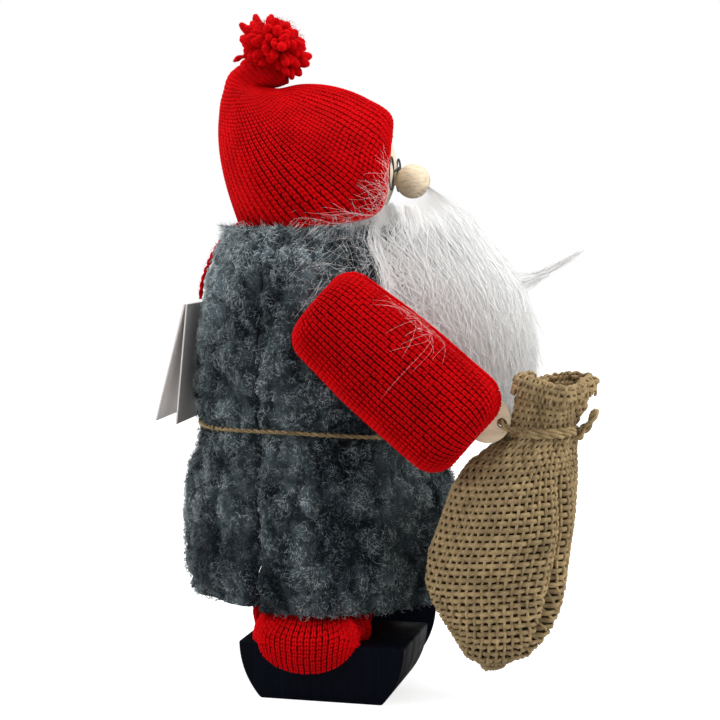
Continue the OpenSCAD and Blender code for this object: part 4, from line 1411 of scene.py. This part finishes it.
class TOMTE_OT_sack(bpy.types.Operator):
    """Weave the burlap sack, its neck and its frill"""
    bl_idname = "tomte.sack"
    bl_label = "Sack"

    def execute(self, context):
        sizes = context.scene.tomte_sack
        colour = tuple(sizes.colour)
        burlap = jute("burlap", colour)
        # The lining under the weave is the burlap at a sixth of its brightness: painted shade seen through
        # the gaps between the yarns.
        dark = jute("sack lining in painted shade", shade(colour, 0.16), 1.5 * MM)
        self.low, self.high = (corner[2] for corner in corners("sack"))
        self.rows = sack_rows()
        levels = np.linspace(self.low + 0.5 * MM, SACK_TIE + 9 * MM, 90)
        turn = np.linspace(0, TURN, 96, endpoint=False)
        t, z = np.meshgrid(turn, levels)
        points, faces, _ = closed_skin(self.skin(t, z, -0.75 * MM))
        lining = mesh_piece("sack_lining", points, faces, "sack", dark, ["sack"],
                            tone=np.full(len(points), 0.5))
        t, z = np.meshgrid(turn[::2], np.linspace(self.low + 4 * MM, SACK_TIE - 6 * MM, 40))
        points, faces, _ = closed_skin(self.skin(t, z, -3.5 * MM))
        filling = mesh_piece("sack_filling_tufts", points, faces, "sack",
                             material_for("wadding", stuffing), ["sack_filling"])
        for name, yarns in (("sack_warp", self.warps(sizes)), ("sack_weft", self.wefts(sizes))):
            points, faces, tone = join_parts(yarns)
            mesh_piece(name, points, faces, "sack", burlap, tone=tone)
        return {"FINISHED"}

    def skin(self, turn, run, out=0.0):
        """The sack's surface at an angle and a distance up the cloth: folds fall from the neck,
        the frill opens, and past the rim the cloth turns over and comes down outside."""
        levels, rows = self.rows
        rim = self.high - 1.2 * MM + 1.4 * MM * np.sin(2 * turn + 0.6) - 0.4 * MM * np.cos(turn)
        height = np.where(run < self.high, run + (rim - self.high) * ease(run, SACK_TIE, self.high),
                          rim - (run - self.high))
        over = ease(run, self.high - 1.5 * MM, self.high + 1.5 * MM)
        height = height - 0.8 * MM * np.exp(-((run - self.high) / (1.6 * MM)) ** 2)
        middle, deep, wide = (np.interp(height, levels, rows[:, k]) for k in range(3))
        foot = np.sqrt(np.clip((height - self.low) / (7 * MM), 0.0, 1)) ** 0.8
        above = ease(height, SACK_TIE, SACK_TIE + 9 * MM)
        below = (np.exp(-np.clip(SACK_TIE - height, 0, 1) / (13 * MM))
                 * ease(SACK_TIE - height, -2 * MM, 3 * MM))
        fold = above * (2.1 * MM * np.sin(5 * turn + 0.8) + 0.9 * MM * np.sin(9 * turn) + 0.8 * MM)
        fold = fold + below * 1.0 * MM * np.sin(9 * turn + 1.1)
        # The frill is pulled in, most of all towards the hand and the sleeve's cuff
        fold = fold - above * (3.2 * MM * np.clip(-np.cos(turn), 0, 1)
                               + 1.2 * MM * np.clip(np.cos(turn), 0, 1))
        slump = 0.6 * MM * np.sin(3 * turn + height * 90) + 0.5 * MM * np.sin(2 * turn - height * 150)
        full = (ease(SACK_TIE - height, 6 * MM, 20 * MM)
                * ease(height, self.low + 4 * MM, self.low + 16 * MM))
        off = np.abs(half_turn(turn - SEAM_TURN))
        seam = full * (-3.0 * MM * np.exp(-(off / 0.085) ** 2)
                       + 1.0 * MM * np.exp(-((off - 0.28) / 0.16) ** 2))
        grow = out + fold + slump + seam + over * 2.0 * MM
        x = SACK_X + (wide + grow) * foot * np.sin(turn)
        back = self.lean(height) - above * 0.4 * MM
        y = middle + back - (deep + grow) * foot * np.cos(turn)
        return np.stack([x, y, height], axis=-1)

    def lean(self, height):
        """How far back the sack's middle lies at a height."""
        return NECK_BACK * ease(height, SACK_TIE - 34 * MM, SACK_TIE)

    def normal(self, turn, height):
        """Outward normals of the sack's surface."""
        levels, rows = self.rows
        place = self.skin(turn, height)
        middle = np.interp(place[..., 2], levels, rows[:, 0]) + self.lean(place[..., 2])
        axis = np.stack([np.full(np.shape(turn), SACK_X), middle, place[..., 2]], axis=-1)
        return skin_normal(self.skin, turn, height, 0.03, 0.8 * MM, axis)

    def warps(self, sizes):
        """Upright yarns, over and under each cross yarn."""
        parts = []
        levels, rows = self.rows
        widest, deepest = levels[np.argmax(rows[:, 1])], rows[:, 1].max()
        span = self.high + TURN_OVER - self.low
        crossings = int(span / sizes.pitch)
        stations = crossings * 4
        height = self.low + 0.4 * MM + (span - 0.8 * MM) * np.linspace(0, 1, stations)
        wave = np.sin(np.linspace(0, crossings * math.pi, stations))
        deep = np.interp(height, levels, rows[:, 1])
        foot = np.clip((height - self.low) / (7 * MM), 0.04, 1) ** 0.4
        for k in range(sizes.warps):
            turn = TURN * k / sizes.warps
            share = np.where(height < widest, np.cos(turn) * deepest / (deep * foot), np.cos(turn))
            inside = np.abs(share) <= 1
            if inside.sum() < SHORTEST_WARP:
                continue
            angle = np.arccos(np.clip(share, -1, 1)) * (1 if turn <= math.pi else -1)
            z, a = height[inside], angle[inside] % TURN
            normal = self.normal(a, z)
            flip = 1 if k % 2 else -1
            path = self.skin(a, z) + normal * (flip * wave[inside] * WEAVE_WAVE)[:, None]
            parts.append(strands(path[None], np.full((1, len(path)), sizes.yarn * 0.95), sides=5,
                                 facing=normal[None], tone=0.62 + 0.12 * math.sin(k * 2.4)))
        return parts

    def wefts(self, sizes):
        """Cross yarns, flatter than the warps and slightly tilted."""
        parts = []
        count = int((self.high + TURN_OVER - self.low - 2 * MM) / sizes.pitch)
        stations = sizes.warps * 4
        turn = np.linspace(0, TURN, stations, endpoint=False)
        for j in range(count):
            base = self.low + 2.2 * MM + j * sizes.pitch
            room = (ease(base, self.low + 3 * MM, self.low + 25 * MM)
                    * (1 - ease(base, SACK_TIE - 14 * MM, SACK_TIE)))
            height = base + 1.9 * MM * np.cos(turn) * room
            height = np.maximum(height, self.low + 0.4 * MM)
            wave = np.cos(turn * sizes.warps / 2) * (1 if j % 2 else -1)
            normal = self.normal(turn, height)
            path = self.skin(turn, height) + normal * (wave * WEAVE_WAVE)[:, None]
            parts.append(ring_cords(path[None], sizes.yarn, facing=normal[None], sides=5, wide=1.6,
                                    tone=0.55 + 0.12 * math.sin(j * 1.7)))
        return parts


class TOMTE_OT_sack_twine(bpy.types.Operator):
    """Tie the sack's neck and hang it from the hand"""
    bl_idname = "tomte.sack_twine"
    bl_label = "Sack Twine"

    def execute(self, context):
        twine = jute("sack twine", shade(context.scene.tomte_sack.colour, 1.15))
        levels, rows = sack_rows()
        middle = np.interp(SACK_TIE, levels, rows[:, 0]) + NECK_BACK
        deep = np.interp(SACK_TIE, levels, rows[:, 1]) + 1.0 * MM
        turn = np.linspace(0, 2 * TURN, 200)
        wrap = np.stack([SACK_X + deep * np.sin(turn), middle - deep * np.cos(turn),
                         SACK_TIE - 1.2 * MM + 2.4 * MM * turn / (2 * TURN)], axis=1)
        front = np.array([SACK_X, middle - deep - 0.6 * MM, SACK_TIE])
        knot = near(front, (1.5, 1, -1), (-1.5, -1, -1.6), (-2, -1.6, 1), (1, -2.2, 1.6),
                    (2, -0.8, -0.6), (-0.6, 0.4, -1.6), (-1.4, -1.8, 0.6))
        end = near(front, (-0.5, -0.5, 0), (-1.4, -3, 1.5), (-1.8, -4.4, 4.2), (-2.2, -6.2, 7.6))
        parts = [twine_parts(wrap, 1.15 * MM), twine_parts(even_path(knot, 60), 1.1 * MM),
                 twine_parts(even_path(end, 24), 1.35 * MM),
                 loose_fibres(wrap, 1.2 * MM, 420, 1.8 * MM, 0.05 * MM, 8)]
        points, faces, tone = join_parts(parts)
        mesh_piece("sack_tie_twine", points, faces, "sack", twine, ["sack_tie"], tone)
        self.loop(twine, np.array([SACK_X, middle, SACK_TIE]), deep)
        return {"FINISHED"}

    def loop(self, twine, neck, deep):
        """Twine through the hand's hole and down to the neck."""
        reach = 2.6 * MM
        outside = neck + np.array([-deep * 0.8, deep * 0.62, 0])
        inside = neck + np.array([deep * 0.5, deep * 0.88, 0])
        line = [outside, outside + np.array([-0.5, 0.4, 1.2]) * MM,
                HOLE + np.array([-reach, -1.6 * MM, -1.6 * MM]), HOLE + np.array([-reach * 0.8, 0, 0]),
                HOLE + np.array([reach * 0.8, 0, 0]), HOLE + np.array([reach, -1.2 * MM, -1.2 * MM]), inside]
        path = even_path(line, 60)
        points, faces, tone = join_parts([twine_parts(path, 1.05 * MM),
                                          loose_fibres(path, 1.1 * MM, 120, 1.6 * MM, 0.05 * MM, 9)])
        mesh_piece("hand_twine", points, faces, "sack", twine, ["hand_loop"], tone)


class TOMTE_OT_hang_tag(bpy.types.Operator):
    """Hang the folded card on its red cord"""
    bl_idname = "tomte.hang_tag"
    bl_label = "Hang Tag"

    def execute(self, context):
        card = card_stock("plain card", (0.86, 0.82, 0.80))
        finish_nodes(("tag_inner_leaf", "tag_outer_leaf"), card)
        points = node_points("tag_cord")
        levels = np.unique(np.round(points[:, 2], 4))
        line = np.array([points[np.abs(points[:, 2] - level) < 4e-4].mean(0) for level in levels])
        keep = np.concatenate([[True], np.diff(line[:, 2]) > 1.5 * MM])
        path = even_path(line[keep], 60)
        points, faces, tone = join_parts([twine_parts(path, 0.85 * MM),
                                          loose_fibres(path, 0.9 * MM, 260, 1.3 * MM, 0.04 * MM, 12)])
        mesh_piece("tag_cord_yarn", points, faces, "root", red_wool(), ["tag_cord"], tone)
        return {"FINISHED"}


class TOMTE_OT_loose_hairs(bpy.types.Operator):
    """Scatter stray hairs of the beard over the hat, the collar and the sleeves"""
    bl_idname = "tomte.loose_hairs"
    bl_label = "Loose Hairs"

    def execute(self, context):
        white = white_hair()
        rng = np.random.default_rng(51)
        parts = [self.over_hat(side, rng) for side in (-1, 1)]
        parts += [self.over_collar(side, rng) for side in (-1, 1)]
        points, faces, tone = join_parts(parts)
        mesh_piece("stray_hairs", points, faces, "root", white, tone=tone)
        for side, body in ((-1, "right_arm"), (1, "left_arm")):
            points, faces, tone = self.over_sleeve(side, rng)
            name = f"sleeve_hairs_{'left' if side > 0 else 'right'}"
            mesh_piece(name, points, faces, body, white, tone=tone)
        return {"FINISHED"}

    def over_hat(self, side, rng):
        """Hairs that lie over the brim."""
        count = 80
        s = np.linspace(0, 1, 9)[None]
        across = side * rng.uniform(0.13, 0.3, (count, 1)) + side * s * rng.uniform(-0.05, 0.09, (count, 1))
        along = 1.01 - s * rng.uniform(0.02, 0.13, (count, 1))
        along += 0.015 * np.sin(6 * s + rng.uniform(0, 6, (count, 1)))
        place = hat_skin(across, np.clip(along, 0, 1))
        out = unit(place - HEAD)
        off = 0.9 + 1.6 * np.sin(math.pi * s) * rng.uniform(0, 1, (count, 1))
        return strands(place + out * off[..., None] * MM, np.full(place.shape[:2], 0.022 * MM), seed=3,
                       tone=0.8)

    def over_collar(self, side, rng):
        """Fine hairs over the collar, and whiskers that fill the gap under the brim."""
        count = 200
        s = np.linspace(0, 1, 8)[None]
        around = side * (0.42 + rng.uniform(0, 1, (count, 1)) ** 1.4 + s * rng.uniform(-0.3, 0.4, (count, 1)))
        share = 1 if side < 0 else 0.4      # they stay higher where the left arm lifts
        height = COLLAR - share * (rng.uniform(0, 24, (count, 1)) + s * rng.uniform(-4, 16, (count, 1))) * MM
        place = vest_skin(around, np.clip(height, HEM, COLLAR))
        out = unit(place * np.array([1, 1, 0]))
        off = 2.6 + 1.8 * np.sin(math.pi * s) * rng.uniform(0, 1, (count, 1))
        stray = strands(place + out * off[..., None] * MM, np.full(place.shape[:2], 0.028 * MM), seed=4,
                        tone=0.8)
        count = 1000
        turn = 0.5 + 0.95 * rng.uniform(0, 1, (count, 1)) ** 1.3 + s * rng.uniform(0.0, 0.35, (count, 1))
        turn *= side
        fall = 11 * s * rng.uniform(0.3, 1, (count, 1)) + 5 * rng.uniform(0, 1, (count, 1))
        height = COLLAR + (9 - fall) * MM
        radius = (25.5 + 8.5 * s * rng.uniform(0.3, 1, (count, 1)) + rng.uniform(0, 2.5, (count, 1))) * MM
        whisker = np.stack([radius * np.sin(turn), -radius * np.cos(turn), height], axis=-1)
        whisker += rng.normal(0, 0.3, whisker.shape) * MM
        hair_width = bpy.context.scene.tomte_hair.hair_width
        radii = hair_width * np.sin(math.pi * s ** 0.6) * rng.uniform(0.6, 1.1, (count, 1))
        return join_parts([stray, strands(whisker, radii, seed=5, tone=rng.normal(0.5, 0.15, count))])

    def over_sleeve(self, side, rng):
        """A few hairs that fan out over the sleeve."""
        surface = sleeve_skin(side)
        count = 30
        s = np.linspace(0, 1, 10)[None]
        bow = rng.uniform(0.0, 0.05, (2, count, 1)) * np.sin(math.pi * s + rng.uniform(-1, 1, (count, 1)))
        across = 0.21 + rng.normal(0, 0.012, (count, 1)) + bow[0]
        across += (rng.normal(0, 0.08, (count, 1)) - 0.02) * s ** 1.3
        along = 0.47 + rng.normal(0, 0.025, (count, 1)) + rng.normal(0, 0.12, (count, 1)) * s + bow[1]
        place = surface(across, along)
        middle = place.mean(axis=(0, 1)) * np.array([0, 1, 1]) + np.array([side * 50 * MM, 0, 0])
        out = unit(place - middle)
        off = 1.2 + 0.8 * np.sin(math.pi * s) * rng.uniform(0, 1, (count, 1))
        return strands(place + out * off[..., None] * MM, np.full(place.shape[:2], 0.019 * MM), seed=6,
                       tone=0.8)


# ---------------------------------------------------------------- stage

class TOMTE_OT_stage(bpy.types.Operator):
    """Set the camera, the pale floor and the soft lamps"""
    bl_idname = "tomte.stage"
    bl_label = "Stage"

    def execute(self, context):
        sizes = context.scene.tomte_stage
        scene = context.scene
        back = np.array([math.sin(sizes.azimuth), -math.cos(sizes.azimuth), 0])
        right = np.array([-back[1], back[0], 0])
        spot = back * sizes.camera_away + np.array([0, 0, sizes.camera_height])
        target = right * 14.1 * MM + np.array([0, 0, 108.8 * MM])
        data = bpy.data.cameras.new("camera")
        data.lens = sizes.lens
        data.clip_start = 0.01
        camera = bpy.data.objects.new("camera", data)
        camera.location = spot + AXIS
        camera.rotation_euler = Vector(target - spot).to_track_quat("-Z", "Y").to_euler()
        scene.collection.objects.link(camera)
        scene.camera = camera
        scene.view_settings.view_transform = "Standard"
        self.floor()
        self.lamps(right, back)
        return {"FINISHED"}

    def floor(self):
        finish = Finish("pale floor", 0.8)
        cloud = finish.noise(0.5, 2)
        finish.colour(finish.ramp(cloud, (0.3, (0.6, 0.6, 0.6)), (0.7, (0.64, 0.64, 0.64))))
        finish.shader.inputs["Emission Color"].default_value = (1, 1, 1, 1)
        glow = finish.maths("MULTIPLY", finish.put("LightPath").outputs["Is Camera Ray"], 0.78)
        finish.tree.links.new(glow, finish.shader.inputs["Emission Strength"])
        bpy.ops.object.select_all(action="DESELECT")
        bpy.ops.mesh.primitive_plane_add(size=12, location=(0, 0, 0))
        floor = bpy.context.active_object
        floor.name = "floor"
        floor.data.materials.append(finish.material)

    def lamps(self, right, back):
        world = bpy.data.worlds.new("white room")
        bpy.context.scene.world = world
        world.use_nodes = True
        tree = world.node_tree
        soft = tree.nodes["Background"]
        soft.inputs["Color"].default_value = (1, 1, 1, 1)
        soft.inputs["Strength"].default_value = 0.38
        bright = tree.nodes.new("ShaderNodeBackground")
        bright.inputs["Color"].default_value = (1, 1, 1, 1)
        path = tree.nodes.new("ShaderNodeLightPath")
        mix = tree.nodes.new("ShaderNodeMixShader")
        tree.links.new(path.outputs["Is Camera Ray"], mix.inputs[0])
        tree.links.new(soft.outputs[0], mix.inputs[1])
        tree.links.new(bright.outputs[0], mix.inputs[2])
        tree.links.new(mix.outputs[0], tree.nodes["World Output"].inputs[0])
        up = np.array([0, 0, 1.0])
        centre = np.array([0, 0, 0.12])
        places = {"front softbox": (right * 0.9 + back * 0.35 + up * 0.55, 0.7, 9.5),
                  "top softbox": (up * 1.1 - right * 0.15 - back * 0.1, 0.8, 11.0),
                  "back softbox": (-right * 0.95 + back * 0.15 + up * 0.35, 0.6, 6.0)}
        for name, (offset, size, power) in places.items():
            data = bpy.data.lights.new(name, "AREA")
            data.shape = "SQUARE"
            data.size = size
            data.energy = power
            lamp = bpy.data.objects.new(name, data)
            lamp.location = AXIS + centre + offset
            lamp.rotation_euler = Vector(-offset).to_track_quat("-Z", "Y").to_euler()
            bpy.context.scene.collection.objects.link(lamp)


OPERATORS = (TOMTE_OT_stage, TOMTE_OT_wooden_parts, TOMTE_OT_spectacles, TOMTE_OT_shoes,
             TOMTE_OT_trousers, TOMTE_OT_wadding, TOMTE_OT_vest, TOMTE_OT_belt, TOMTE_OT_sleeves,
             TOMTE_OT_hat, TOMTE_OT_pompom, TOMTE_OT_beard, TOMTE_OT_moustache, TOMTE_OT_loose_hairs,
             TOMTE_OT_sack, TOMTE_OT_sack_twine, TOMTE_OT_hang_tag)


class TOMTE_PT_panel(bpy.types.Panel):
    """Sizes, colours and steps of the gnome"""
    bl_label = "Tomte Gnome"
    bl_idname = "TOMTE_PT_panel"
    bl_space_type = "VIEW_3D"
    bl_region_type = "UI"
    bl_category = "Tomte"

    def draw(self, context):
        for name, group in SETTINGS.items():
            box = self.layout.box()
            box.label(text=group.__doc__.splitlines()[0])
            for field in group.__annotations__:
                box.prop(getattr(context.scene, name), field)
        for operator in OPERATORS:
            self.layout.operator(operator.bl_idname)


def register():
    for group in SETTINGS.values():
        bpy.utils.register_class(group)
    for name, group in SETTINGS.items():
        setattr(bpy.types.Scene, name, bpy.props.PointerProperty(type=group))
    for kind in (*OPERATORS, TOMTE_PT_panel):
        bpy.utils.register_class(kind)


def unregister():
    for kind in (TOMTE_PT_panel, *reversed(OPERATORS)):
        bpy.utils.unregister_class(kind)
    for name in SETTINGS:
        delattr(bpy.types.Scene, name)
    for group in SETTINGS.values():
        bpy.utils.unregister_class(group)


def main():
    register()
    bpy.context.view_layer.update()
    for operator in OPERATORS:
        space, step = operator.bl_idname.split(".")
        getattr(getattr(bpy.ops, space), step)()


if __name__ == "__main__":
    main()
